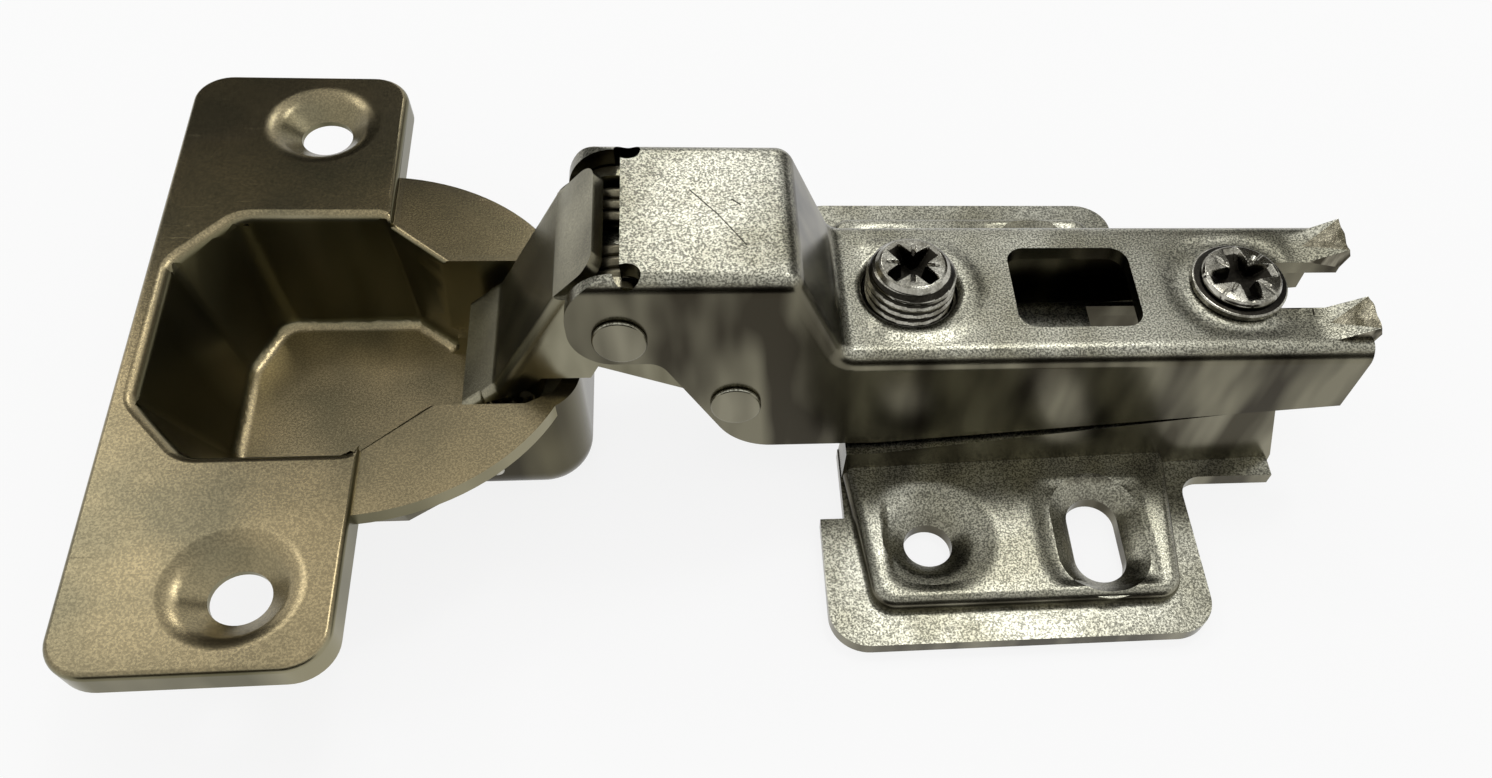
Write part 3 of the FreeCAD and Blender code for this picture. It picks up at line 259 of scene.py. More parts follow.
@dataclass(frozen=True)
class PlatedSteel:
    """Nickel plated steel: light blasted grain on the flats, and walls painted darker as shade where they
    turn from the top.

    The sheet comes with a fine grain, which stays on the faces that look up and is rubbed smooth on the
    drawn walls. Real grain is 0.1 to 0.2 mm. Long rubbed streaks run upright on the walls. Shine is the
    roughness, and the depths of grain and scratches are bump.
    """

    flat: str
    flat_shade: str
    wall: str
    wall_light: str
    shine: float = 0.34
    wall_shine: float = 0.24
    grain_mm: float = 0.17
    grain_share: float = 0.45
    grain_depth_mm: float = 0.010
    wall_grain: float = 0.15
    cloud_mm: float = 10.0
    streak_share: float = 0.8
    streak_stretch: Triple = (1.5, 1.0, 0.4)
    scratch_mm: float = 5.0
    scratch_depth_mm: float = 0.003
    scratch_turn: Triple = (0.2, 0.1, 0.7)
    scratch_stretch: Triple = (1.0, 16.0, 9.0)
    mark_shade: str = "#1f1d17"
    marks: tuple[Mark, ...] = ()

    def colour(self, graph: Graph, place: Socket, flat: Socket, grain: Socket) -> Socket:
        """Colour the flats with grain and clouds, the walls with streaks in darker colours as painted shade,
        and the marks.

        Args:
            graph: the material's nodes.
            place: the place in metres.
            flat: one on flats that look up, zero on walls.
            grain: the grain's noise.

        Returns:
            The colour.
        """
        cloud = graph.noise(place, self.cloud_mm, detail=3.0, roughness=0.5)
        drawn = graph.node("ShaderNodeMapping", {"Vector": place, "Scale": self.streak_stretch}).outputs[0]
        streak = graph.noise(drawn, self.streak_share * self.cloud_mm, detail=2.0, roughness=0.45)
        speck = graph.remap(grain, SPECKS, (1 - self.grain_share, 1 + self.grain_share))
        top = graph.blend(graph.remap(cloud, CLOUDS), linear(self.flat), linear(self.flat_shade))
        bright = graph.vector("SCALE", top, speck).outputs[0]
        # Painted shade: faces that turn from the top take the walls' darker colours instead of the flats'
        side = graph.blend(graph.remap(streak, STREAKS), linear(self.wall), linear(self.wall_light))
        colour = graph.blend(flat, side, bright)
        for mark in self.marks:
            colour = graph.blend(mark.share(graph, place), colour, linear(self.mark_shade))
        return colour

    def relief(self, graph: Graph, place: Socket, flat: Socket, grain: Socket) -> Socket:
        """Raise the grain, high on the flats and low on the walls, and cut fine scratches into it.

        Args:
            graph: the material's nodes.
            place: the place in metres.
            flat: one on flats that look up, zero on walls.
            grain: the grain's noise.

        Returns:
            The normal.
        """
        across = graph.node("ShaderNodeMapping", {
            "Vector": place, "Rotation": self.scratch_turn, "Scale": self.scratch_stretch}).outputs[0]
        scratch = graph.noise(across, self.scratch_mm, detail=5.0, roughness=0.7)
        deep = graph.remap(flat, (0.0, 1.0), (self.wall_grain * self.grain_depth_mm, self.grain_depth_mm))
        line = graph.remap(scratch, SCRATCHES, (0.0, -self.scratch_depth_mm))
        height = graph.number("ADD", graph.number("MULTIPLY", grain, deep), line)
        return graph.node("ShaderNodeBump", {"Height": height, "Strength": 1.0, "Distance": MM}).outputs[0]

    def build(self, name: str) -> bpy.types.Material:
        """Build the material.

        Args:
            name: the material's name.

        Returns:
            The finished material, on Object coordinates in metres.
        """
        graph = Graph(bpy.data.materials.new(name))
        where = graph.node("ShaderNodeTexCoord")
        place = where.outputs["Object"]
        # The normal's height sets where the walls' painted shade begins
        up = graph.node("ShaderNodeSeparateXYZ", {"Vector": where.outputs["Normal"]}).outputs["Z"]
        flat = graph.remap(up, UPWARD, kind="SMOOTHSTEP")
        grain = graph.noise(place, self.grain_mm, detail=2.5, roughness=0.62)
        shader = graph.node("ShaderNodeBsdfPrincipled", {
            "Base Color": self.colour(graph, place, flat, grain),
            "Metallic": 1.0,
            "Roughness": graph.remap(flat, (0.0, 1.0), (self.wall_shine, self.shine)),
            "Normal": self.relief(graph, place, flat, grain)})
        graph.node("ShaderNodeOutputMaterial", {"Surface": shader.outputs[0]})
        return graph.owner


# A bent scratch and a short one on the arm's high end, four ticks beside the slot, two scratches before it
MARKS: tuple[Mark, ...] = (
    Mark((-19.0, 2.05, 23.1), (-17.0, -0.5, 23.1), 0.035),
    Mark((-17.0, -0.5, 23.1), (-15.0, -3.65, 23.1), 0.03),
    Mark((-15.9, 1.05, 23.1), (-15.3, 0.5, 23.1), 0.045),
    *(Mark((x, -2.75, 15.2), (x - 0.1, -3.4, 15.2), 0.05) for x in (29.0, 30.1, 31.2, 32.3)),
    Mark((20.9, -0.4, 15.2), (21.6, -3.6, 15.2), 0.03),
    Mark((21.2, 0.6, 15.2), (21.0, -1.9, 15.2), 0.025),
)

# Each finish gives the flats' two colours, then the walls' two, which are darker as painted shade
FINISHES: dict[Plating, PlatedSteel] = {
    Plating.LINK: PlatedSteel(
        "#94907c", "#757160", "#6b6755", "#928e79",
        shine=0.26, grain_mm=0.16, grain_share=0.25, grain_depth_mm=0.008, cloud_mm=6.0),
    Plating.ARM: PlatedSteel(
        "#9e9d90", "#7d7b6c", "#3c382e", "#7d7967",
        shine=0.29, grain_mm=0.16, grain_share=0.62, grain_depth_mm=0.015, cloud_mm=7.0, marks=MARKS),
    Plating.SATIN: PlatedSteel(
        "#9e9d90", "#7d7b6c", "#4a463a", "#8a8674",
        shine=0.29, grain_mm=0.16, grain_share=0.58, grain_depth_mm=0.015, cloud_mm=7.0),
    Plating.CUP: PlatedSteel(
        "#978969", "#706953", "#646049", "#918b71",
        shine=0.27, wall_shine=0.28, grain_share=0.20, grain_depth_mm=0.005, cloud_mm=14.0),
    # Painted shade on the drawn cup's outside below the wings
    Plating.SHADED_OUTSIDE: PlatedSteel(
        "#8f876d", "#6b6550", "#3d392d", "#67624e",
        shine=0.27, wall_shine=0.27, grain_share=0.2, grain_depth_mm=0.005, cloud_mm=9.0),
    Plating.BRIGHT: PlatedSteel(
        "#aaa89d", "#716e63", "#6e6b5f", "#bdbaaf",
        shine=0.20, wall_shine=0.18, grain_share=0.3, grain_depth_mm=0.006, cloud_mm=1.6),
    # Painted shade for the screws' recesses, the thread's roots and the fixing screw's groove
    Plating.RECESS_SHADE: PlatedSteel(
        "#2a2823", "#1c1a16", "#24221d", "#3a3730",
        grain_share=0.3, grain_depth_mm=0.003, cloud_mm=2.0),
    Plating.TIP: PlatedSteel(
        "#8b8674", "#4a4638", "#3a362b", "#8d8878",
        shine=0.18, wall_shine=0.18, grain_share=0.3, grain_depth_mm=0.02, cloud_mm=1.2),
    # The spring wire is painted dark as the shade between the links
    Plating.WIRE: PlatedSteel(
        "#77725f", "#5a5546", "#23211b", "#5d5847",
        grain_share=0.15, grain_depth_mm=0.003, cloud_mm=4.0),
}


def surface(name: str, points: np.ndarray, around: bool = False) -> bpy.types.Object:
    """Make a mesh from a grid of points, one face between four neighbours.

    Args:
        name: the piece's name.
        points: array of shape (rows, columns, 3), in metres.
        around: join the last column to the first.

    Returns:
        The new object, linked to the scene.
    """
    rows, columns = points.shape[:2]
    a, b = np.meshgrid(np.arange(rows - 1), np.arange(columns if around else columns - 1), indexing="ij")
    a2, b2 = a + 1, (b + 1) % columns
    quads = np.stack([a * columns + b, a * columns + b2, a2 * columns + b2, a2 * columns + b], -1)
    mesh = bpy.data.meshes.new(name)
    mesh.from_pydata(points.reshape(-1, 3).tolist(), [], quads.reshape(-1, 4).tolist())
    return settle(name, mesh)


def weigh_normals(mesh: bpy.types.Mesh, angle: float) -> None:
    """Give each corner the mean of the faces around it that turn by less than the angle, weighted by area.

    Large flats keep their own direction this way, and only the narrow bends between them look round.

    Args:
        mesh: the mesh.
        angle: largest turn in degrees between faces that are shaded together.
    """
    count = len(mesh.polygons)
    normal, area = np.empty(count * 3, np.float32), np.empty(count, np.float32)
    mesh.polygons.foreach_get("normal", normal)
    mesh.polygons.foreach_get("area", area)
    normal = normal.reshape(-1, 3)
    corner = np.empty(len(mesh.loops), np.int32)
    mesh.loops.foreach_get("vertex_index", corner)
    size = np.empty(count, np.int32)
    mesh.polygons.foreach_get("loop_total", size)
    owner = np.repeat(np.arange(count), size)
    order = np.argsort(corner, kind="stable")
    starts = np.searchsorted(corner[order], np.arange(len(mesh.vertices) + 1))
    limit = math.cos(math.radians(angle))
    out = np.zeros((len(corner), 3), np.float32)
    for vertex in range(len(mesh.vertices)):
        loops = order[starts[vertex]:starts[vertex + 1]]
        faces = owner[loops]
        near = (normal[faces] @ normal[faces].T > limit) * area[faces][None, :]
        out[loops] = near @ normal[faces]
    out /= np.maximum(np.linalg.norm(out, axis=1, keepdims=True), 1e-20)
    mesh.shade_smooth()
    mesh.normals_split_custom_set(out.tolist())


def settle(name: str, mesh: bpy.types.Mesh, angle: float = 40.0) -> bpy.types.Object:
    """Merge doubles, turn the faces outward and shade a mesh smooth up to an angle.

    Args:
        name: the piece's name.
        mesh: its mesh.
        angle: sharpest angle in degrees that is still shaded smooth.

    Returns:
        The new object, linked to the scene.
    """
    work = bmesh.new()
    work.from_mesh(mesh)
    bmesh.ops.remove_doubles(work, verts=work.verts, dist=WELD)
    bmesh.ops.recalc_face_normals(work, faces=work.faces)
    work.to_mesh(mesh)
    work.free()
    weigh_normals(mesh, angle)
    made = bpy.data.objects.new(name, mesh)
    bpy.context.scene.collection.objects.link(made)
    return made


def turned(profile: np.ndarray, centre: Pair, steps: int) -> np.ndarray:
    """Turn a profile about an upright axis: each point goes once round at its own radius.

    Args:
        profile: array of (radius, height) rows in millimetres.
        centre: X and Y of the axis in millimetres.
        steps: points round the axis.

    Returns:
        Grid of points in metres.
    """
    turn = np.linspace(0, 2 * np.pi, steps, endpoint=False)
    x = centre[0] + profile[:, :1] * np.cos(turn)
    y = centre[1] + profile[:, :1] * np.sin(turn)
    z = np.repeat(profile[:, 1:2], steps, 1)
    return np.stack([x, y, z], -1) * MM


@dataclass(frozen=True)
class Zone:
    """A box in which a sheet piece's sharp edges are rounded with their own width, in millimetres."""

    low: Triple
    high: Triple
    width: float
    steps: int = 4
    clamp: bool = True

    def round(self, work: bmesh.types.BMesh, sharp_deg: float) -> None:
        """Round the sharp edges that lie in the box.

        Args:
            work: the mesh that is being made.
            sharp_deg: smallest angle in degrees between two faces of a sharp edge.
        """
        low, high = Vector(self.low) * MM, Vector(self.high) * MM
        chosen = []
        for edge in work.edges:
            if len(edge.link_faces) != 2 or edge.calc_face_angle(0.0) < math.radians(sharp_deg):
                continue
            if all(low[k] <= v.co[k] <= high[k] for v in edge.verts for k in range(3)):
                chosen.append(edge)
        if chosen:
            bmesh.ops.bevel(work, geom=chosen, offset=self.width * MM, segments=self.steps, profile=0.5,
                            affect="EDGES", clamp_overlap=self.clamp, offset_type="OFFSET")
        LOG.info("rounded %d edges by up to %.2f mm", len(chosen), self.width)


@dataclass(frozen=True)
class Swell:
    """A low swell or dish pressed into a flat top, along a circle or a long round, in millimetres."""

    start: Pair
    end: Pair
    radius: float
    spread: float
    height: float

    def rise(self, x: float, y: float) -> float:
        """Work out the swell's height.

        It is full at its radius from the line between its ends and falls off as a cosine to both sides.

        Args:
            x: place in millimetres.
            y: place in millimetres.

        Returns:
            The height in millimetres.
        """
        run = Vector(self.end) - Vector(self.start)
        away = Vector((x, y)) - Vector(self.start)
        along = max(0.0, min(1.0, away.dot(run) / run.length_squared)) if run.length_squared > 0.0 else 0.0
        off = abs((away - along * run).length - self.radius) / self.spread
        return self.height * (0.5 + 0.5 * math.cos(math.pi * off)) if off < 1.0 else 0.0


@dataclass(frozen=True)
class Press:
    """The flat top of a sheet piece that takes swells, in millimetres.

    It has a height, a box in plan, a fading edge, the size of the squares it is cut into, the thickness of
    the sheet, whose underside stays where it is, and how far above the height a point still counts.
    """

    level: float
    low: Pair
    high: Pair
    swells: tuple[Swell, ...]
    fade: float = 1.0
    step: float = 0.4
    sheet: float = 1.1
    above: float = 0.05

    def holds(self, spot: Sequence[float]) -> bool:
        """Say whether a place lies in the flat's box and in the upper skin of the sheet.

        Args:
            spot: the place in millimetres.

        Returns:
            True if it does.
        """
        x, y, z = spot
        return (self.level - self.sheet < z < self.level + self.above
                and self.low[0] < x < self.high[0] and self.low[1] < y < self.high[1])

    def grid(self, work: bmesh.types.BMesh) -> None:
        """Cut the flat top into small squares.

        Args:
            work: the mesh that is being made.
        """
        flats = [f for f in work.faces if f.normal.z > UPPER and self.holds(f.calc_center_median() / MM)]
        edges = [e for f in flats for e in f.edges]
        corners = [v for f in flats for v in f.verts]
        geom = list(dict.fromkeys([*flats, *edges, *corners]))
        for axis, normal in enumerate((Vector((1.0, 0.0, 0.0)), Vector((0.0, 1.0, 0.0)))):
            for place in np.arange(self.low[axis], self.high[axis], self.step):
                cut = bmesh.ops.bisect_plane(
                    work, geom=geom, dist=SNAP, plane_co=normal * float(place) * MM, plane_no=normal)
                geom = cut["geom"]

    def shape(self, work: bmesh.types.BMesh) -> None:
        """Cut the flat top into small squares and raise or lower their corners.

        Args:
            work: the mesh that is being made.
        """
        self.grid(work)
        moved = 0
        for vertex in work.verts:
            x, y, z = (vertex.co / MM)[:]
            if self.holds((x, y, z)):
                edge = min(x - self.low[0], self.high[0] - x, y - self.low[1], self.high[1] - y)
                share = min(1.0, edge / self.fade) * (1.0 - (self.level - z) / self.sheet)
                rise = sum(s.rise(x, y) for s in self.swells) * share
                vertex.co.z += rise * MM
                moved += rise != 0.0
        LOG.info("pressed a flat: %d points moved", moved)


@dataclass(frozen=True)
class SheetPiece:
    """A pressed sheet piece that keeps the frame's own shape, with smooth bends and rounded edges.

    Tips is the X where an arm's flared prongs begin. Drum is the X of a drawn cup's middle and the height
    below which its outside is painted darker as shade. Both are in millimetres.
    """

    node: str
    body: str
    slot: str
    plating: Plating
    smooth_deg: float = 30.0
    shade_deg: float = 42.0
    edge_mm: float = 0.22
    steps: int = 3
    zones: tuple[Zone, ...] = ()
    tips: float | None = None
    presses: tuple[Press, ...] = ()
    drum: Pair | None = None

    def make(self, materials: dict[Plating, bpy.types.Material]) -> bpy.types.Object:
        """Copy the node's mesh, join its facets, round its sharp edges and press its swells.

        Args:
            materials: finished materials.

        Returns:
            The new piece.
        """
        mesh = bpy.data.objects[self.node].data.copy()
        mesh.materials.clear()
        work = bmesh.new()
        work.from_mesh(mesh)
        bmesh.ops.remove_doubles(work, verts=work.verts, dist=WELD)
        bmesh.ops.dissolve_limit(
            work, angle_limit=math.radians(FACET_DEG), verts=work.verts, edges=work.edges)
        for zone in (*self.zones, Zone((-FAR, -FAR, -FAR), (FAR, FAR, FAR), self.edge_mm, self.steps)):
            zone.round(work, self.smooth_deg)
        for press in self.presses:
            press.shape(work)
        if self.tips is not None:
            self.squeeze(work)
        work.to_mesh(mesh)
        work.free()
        made = settle(self.node + "_skin", mesh, self.shade_deg)
        made.data.materials.append(materials[self.plating])
        spot = centres(made)
        if self.tips is not None:
            worn = (spot[:, 0] > self.tips + 1.0) & (spot[:, 2] > TIP_WORN)
            repaint(made, materials[Plating.TIP], worn)
        if self.drum is not None:
            # Painted shade: the drum's outward faces below the wings take the darker material
            middle, top = self.drum
            facing = np.empty(len(mesh.polygons) * 3, np.float32)
            mesh.polygons.foreach_get("normal", facing)
            outward = (spot[:, 0] - middle) * facing[0::3] + spot[:, 1] * facing[1::3]
            repaint(made, materials[Plating.SHADED_OUTSIDE], (outward > OUTWARD_MM) & (spot[:, 2] < top))
        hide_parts(self.node)
        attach(made, self.body)
        LOG.info("sheet piece %s: %d faces", self.node, len(mesh.polygons))
        return made

    def flared(self, work: bmesh.types.BMesh) -> list[bmesh.types.BMEdge]:
        """Find the edges of the prongs' flared tips.

        Args:
            work: the mesh that is being made.

        Returns:
            The edges that lie in the tips with both ends.
        """
        x, z = self.tips * MM, TIP_LOW * MM
        return [e for e in work.edges if all(v.co.x > x and v.co.z > z for v in e.verts)]

    def squeeze(self, work: bmesh.types.BMesh) -> None:
        """Dent the prongs' flared tips with shallow waves, as if they were squeezed in a tool.

        Args:
            work: the mesh that is being made.
        """
        faces = dict.fromkeys(f for e in self.flared(work) for f in e.link_faces)
        bmesh.ops.triangulate(work, faces=list(faces))
        bmesh.ops.subdivide_edges(work, edges=self.flared(work), cuts=DENT_CUTS, use_grid_fill=True)
        for vertex in work.verts:
            x, y, z = (vertex.co / MM)[:]
            if x > self.tips and z > TIP_LOW:
                fade = min(1.0, (x - self.tips) / DENT_RUN) * min(1.0, (z - TIP_LOW) / DENT_RISE)
                wave = math.sin(2.6 * x + 1.3 * y) + math.sin(3.1 * y - 1.7 * x) - 1.2
                vertex.co.z += DENT_MM * MM * wave * fade


@dataclass(frozen=True)
class Recess:
    """A cross recess with four slanted arms, pressed into a screw's top, and four short ticks between them.

    Wall, cone, tick_wall and tick_end say over what way the sides and ends fall, in millimetres. Taper says
    by what share an arm is wider at the middle than at its end. Slant and tick_reach are shares of the
    reach, and tick_depth is one of the depth. An arm's floor reaches its depth after slant / steep.
    """

    arm_half: float = 0.6
    reach: float = 2.5
    depth: float = 1.5
    core: float = 1.0
    turn_deg: float = 38.0
    wall: float = 0.16
    taper: float = 0.25
    slant: float = 0.75
    steep: float = 1.5
    cone: float = 0.45
    tick_half: float = 0.20
    tick_wall: float = 0.12
    tick_end: float = 0.5
    tick_reach: float = 0.86
    tick_depth: float = 0.14

    def depth_at(self, x: np.ndarray, y: np.ndarray) -> np.ndarray:
        """Depth of the recess: four arms with steep walls that rise toward their ends, and a conical core.

        Args:
            x: across in millimetres from the screw's axis.
            y: the same, the other way.

        Returns:
            Depth below the top, zero outside the recess.
        """
        turn = math.radians(self.turn_deg)
        u = x * math.cos(turn) + y * math.sin(turn)
        v = -x * math.sin(turn) + y * math.cos(turn)
        best = np.zeros_like(x)
        for along, across in ((np.abs(u), np.abs(v)), (np.abs(v), np.abs(u))):
            side = (self.arm_half * (1 + self.taper - self.taper * along / self.reach) - across) / self.wall
            end = (self.reach - along) / (self.slant * self.reach)
            best = np.maximum(best, np.clip(side, 0, 1) * np.clip(end * self.steep, 0, 1))
        core = np.clip((self.core - np.hypot(x, y)) / self.cone, 0, 1)
        p, q = (u + v) / math.sqrt(2), (v - u) / math.sqrt(2)
        for along, across in ((np.abs(p), np.abs(q)), (np.abs(q), np.abs(p))):
            side = np.clip((self.tick_half - across) / self.tick_wall, 0, 1)
            end = np.clip((self.reach * self.tick_reach - along) / self.tick_end, 0, 1)
            best = np.maximum(best, self.tick_depth * (side * end))
        return self.depth * np.maximum(best, core)


def repaint(made: bpy.types.Object, other: bpy.types.Material, inside: np.ndarray) -> None:
    """Give a further material to the faces whose flag is set, and the first one to all others.

    Args:
        made: the piece.
        other: the further material.
        inside: one flag for each face.
    """
    made.data.materials.append(other)
    index = np.where(inside, len(made.data.materials) - 1, 0).astype(np.int32)
    made.data.polygons.foreach_set("material_index", index)


def centres(made: bpy.types.Object) -> np.ndarray:
    """Middle points of a piece's faces.

    Args:
        made: the piece.

    Returns:
        Array of shape (faces, 3) in millimetres.
    """
    flat = np.empty(len(made.data.polygons) * 3, np.float32)
    made.data.polygons.foreach_get("center", flat)
    return flat.reshape(-1, 3) / MM


def rings(radius: float) -> tuple[np.ndarray, np.ndarray]:
    """Spread points over a disc in rings.

    Args:
        radius: the disc's radius in millimetres.

    Returns:
        The rings' radii as a column and the points' turns as a row.
    """
    radii = np.linspace(0, 1, RINGS)[:, None] * radius
    return radii, np.linspace(0, 2 * np.pi, AROUND, endpoint=False)[None, :]


@dataclass(frozen=True)
class OverlayScrew:
    """The overlay screw: turned crests of thread, a chamfered flat top and a cross recess.

    Crest is the thread's depth. Crest_flat and flank are shares of half a pitch. The thread begins a lip's
    width below the top, and its crests fade out over the run_out.
    """

    centre: Pair = (-1.65, 0.0)
    radius: float = 3.65
    top: float = 17.8
    top_radius: float = 2.75
    bottom: float = 9.35
    pitch: float = 0.78
    crest: float = 0.34
    crest_flat: float = 0.18
    flank: float = 0.72
    lip: float = 0.35
    run_out: float = 0.9
    chamfer: float = 0.2
    steps: int = 144
    rows: int = 210
    foot_radius: float = 2.8
    neck_radius: float = 1.6
    foot: float = 6.65
    foot_top: float = 7.85

    def thread(self) -> np.ndarray:
        """The thread: a cylinder whose radius falls from the crest to the root once in each pitch.

        Returns:
            Grid of points in metres, from the top down.
        """
        turn = np.linspace(0, 2 * np.pi, self.steps, endpoint=False)[None, :]
        z = np.linspace(self.top - self.lip, self.bottom + 0.1, self.rows)[:, None]
        phase = (z / self.pitch + turn / (2 * np.pi)) % 1.0
        wave = np.abs(phase - 0.5) * 2
        cut = self.crest * np.clip((wave - self.crest_flat) / self.flank, 0, 1)
        fade = np.clip((self.top - 0.1 - z) / self.run_out, 0, 1)
        r = self.radius - cut - (1 - fade) * (self.radius - self.top_radius - 0.25)
        r = np.where(z > self.top - 1.0, np.minimum(r, self.top_radius + (self.top - z)), r)
        x, y = self.centre[0] + r * np.cos(turn), self.centre[1] + r * np.sin(turn)
        return np.stack([x, y, np.broadcast_to(z, r.shape)], -1) * MM

    def face(self, recess: Recess) -> np.ndarray:
        """The top: a disc whose height falls by the recess's depth.

        Args:
            recess: the recess in the top.

        Returns:
            Grid of points in metres, from the middle out.
        """
        r, turn = rings(self.top_radius)
        x, y = r * np.cos(turn), r * np.sin(turn)
        z = self.top - recess.depth_at(x, y)
        z = np.where(r > self.top_radius - self.chamfer, z - (r - self.top_radius + self.chamfer) * 0.3, z)
        return np.stack([x + self.centre[0], y + self.centre[1], z], -1) * MM

    def make(self, materials: dict[Plating, bpy.types.Material]) -> None:
        """Build the screw's surfaces as one piece.

        Args:
            materials: finished materials.
        """
        rim = turned(np.array([
            [self.top_radius, self.top - 0.06],
            [self.top_radius + 0.28, self.top - 0.34],
        ]), self.centre, self.steps)
        lower = turned(np.array([
            [self.radius - self.crest, self.bottom + 0.1],
            [self.radius - 0.5, self.bottom],
            [self.neck_radius, self.bottom],
            [self.neck_radius, self.foot_top],
            [self.foot_radius, self.foot_top],
            [self.foot_radius, self.foot],
            [0.0, self.foot],
        ]), self.centre, self.steps)
        made = joined("overlay_screw_skin", [
            surface("overlay_top", self.face(Recess()), around=True),
            surface("overlay_thread", np.concatenate([rim, self.thread(), lower]), around=True),
        ])
        made.data.materials.append(materials[Plating.BRIGHT])
        # Painted shade: the faces deep in the recess and at the thread's roots take the dark material
        spot = centres(made)
        out = np.hypot(spot[:, 0] - self.centre[0], spot[:, 1] - self.centre[1])
        recess = (out < self.top_radius - 0.1) & (spot[:, 2] < self.top - 0.18)
        root = (out < self.radius - 0.55 * self.crest) & (out > self.radius - 2 * self.crest)
        root &= spot[:, 2] < self.top - 0.5
        repaint(made, materials[Plating.RECESS_SHADE], recess | root)
        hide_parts("overlay_screw")
        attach(made, "overlay")
        LOG.info("overlay screw: %d faces", len(made.data.polygons))


@dataclass(frozen=True)
class FixingScrew:
    """The fixing screw: a wide flange, a groove painted dark as shade and a domed top with a cross recess.

    The dome falls by its crown up to the edge and by its rounding in the last bit, together by its drop.
    """

    centre: Pair = (26.4, 0.0)
    flange_radius: float = 4.1
    dome_radius: float = 3.45
    seat: float = 15.25
    top: float = 16.6
    crown: float = 0.22
    rounding: float = 0.25
    drop: float = 0.47
    ticks: int = 8
    tick_depth: float = 0.05
    tick_start: float = 0.93
    tick_rise: float = 0.07
    shank_radius: float = 2.2
    end: float = 5.8

    def make(self, materials: dict[Plating, bpy.types.Material]) -> None:
        """Build the screw's surfaces as one piece.

        Args:
            materials: finished materials.
        """
        recess = Recess(arm_half=0.72, reach=2.95, depth=1.2, core=1.25, turn_deg=8.0)
        r, turn = rings(self.dome_radius)
        x, y = r * np.cos(turn), r * np.sin(turn)
        crown = self.crown * (r / self.dome_radius) ** 3
        crown = crown + self.rounding * np.clip((r - self.dome_radius + 0.3) / 0.3, 0, 1) ** 2
        share = np.clip((np.cos(turn * self.ticks) - self.tick_start) / self.tick_rise, 0, 1)
        ticks = self.tick_depth * share * (r > self.dome_radius * 0.62)
        z = self.top - crown - recess.depth_at(x, y) - ticks
        upper = np.stack([x + self.centre[0], y + self.centre[1], z], -1) * MM
        edge = self.top - self.drop
        side = turned(np.array([
            [self.dome_radius, edge],
            [self.dome_radius, edge - 0.12],
            [self.dome_radius - 0.3, edge - 0.2],
            [self.dome_radius - 0.3, edge - 0.3],
            [self.flange_radius - 0.15, edge - 0.34],
            [self.flange_radius, edge - 0.45],
            [self.flange_radius, self.seat + 0.06],
            [self.flange_radius - 0.1, self.seat],
            [self.shank_radius, self.seat],
            [self.shank_radius, self.end + 0.3],
            [self.shank_radius - 0.3, self.end],
            [0.0, self.end],
        ]), self.centre, AROUND)
        made = joined("fixing_screw_skin", [
            surface("fixing_top", upper, around=True),
            surface("fixing_side", side, around=True),
        ])
        made.data.materials.append(materials[Plating.BRIGHT])
        spot = centres(made)
        out = np.hypot(spot[:, 0] - self.centre[0], spot[:, 1] - self.centre[1])
        # Painted shade: the deep faces of the recess and the groove under the dome's edge take the dark
        # material
        within = (out < self.dome_radius - 0.35) & (spot[:, 2] < self.top - 0.42)
        groove = (spot[:, 2] < edge - 0.14) & (spot[:, 2] > edge - 0.36) & (out < self.flange_radius - 0.2)
        repaint(made, materials[Plating.RECESS_SHADE], within | groove)
        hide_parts("fixing_screw")
        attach(made, "fixing")
        LOG.info("fixing screw: %d faces", len(made.data.polygons))


def joined(name: str, parts: list[bpy.types.Object]) -> bpy.types.Object:
    """Join several objects' meshes into one piece and merge where they meet.

    Args:
        name: the new piece's name.
        parts: the objects, which are removed.

    Returns:
        The new piece.
    """
    work = bmesh.new()
    for part in parts:
        work.from_mesh(part.data)
        bpy.data.objects.remove(part)
    mesh = bpy.data.meshes.new(name)
    work.to_mesh(mesh)
    work.free()
    return settle(name, mesh, 38.0)


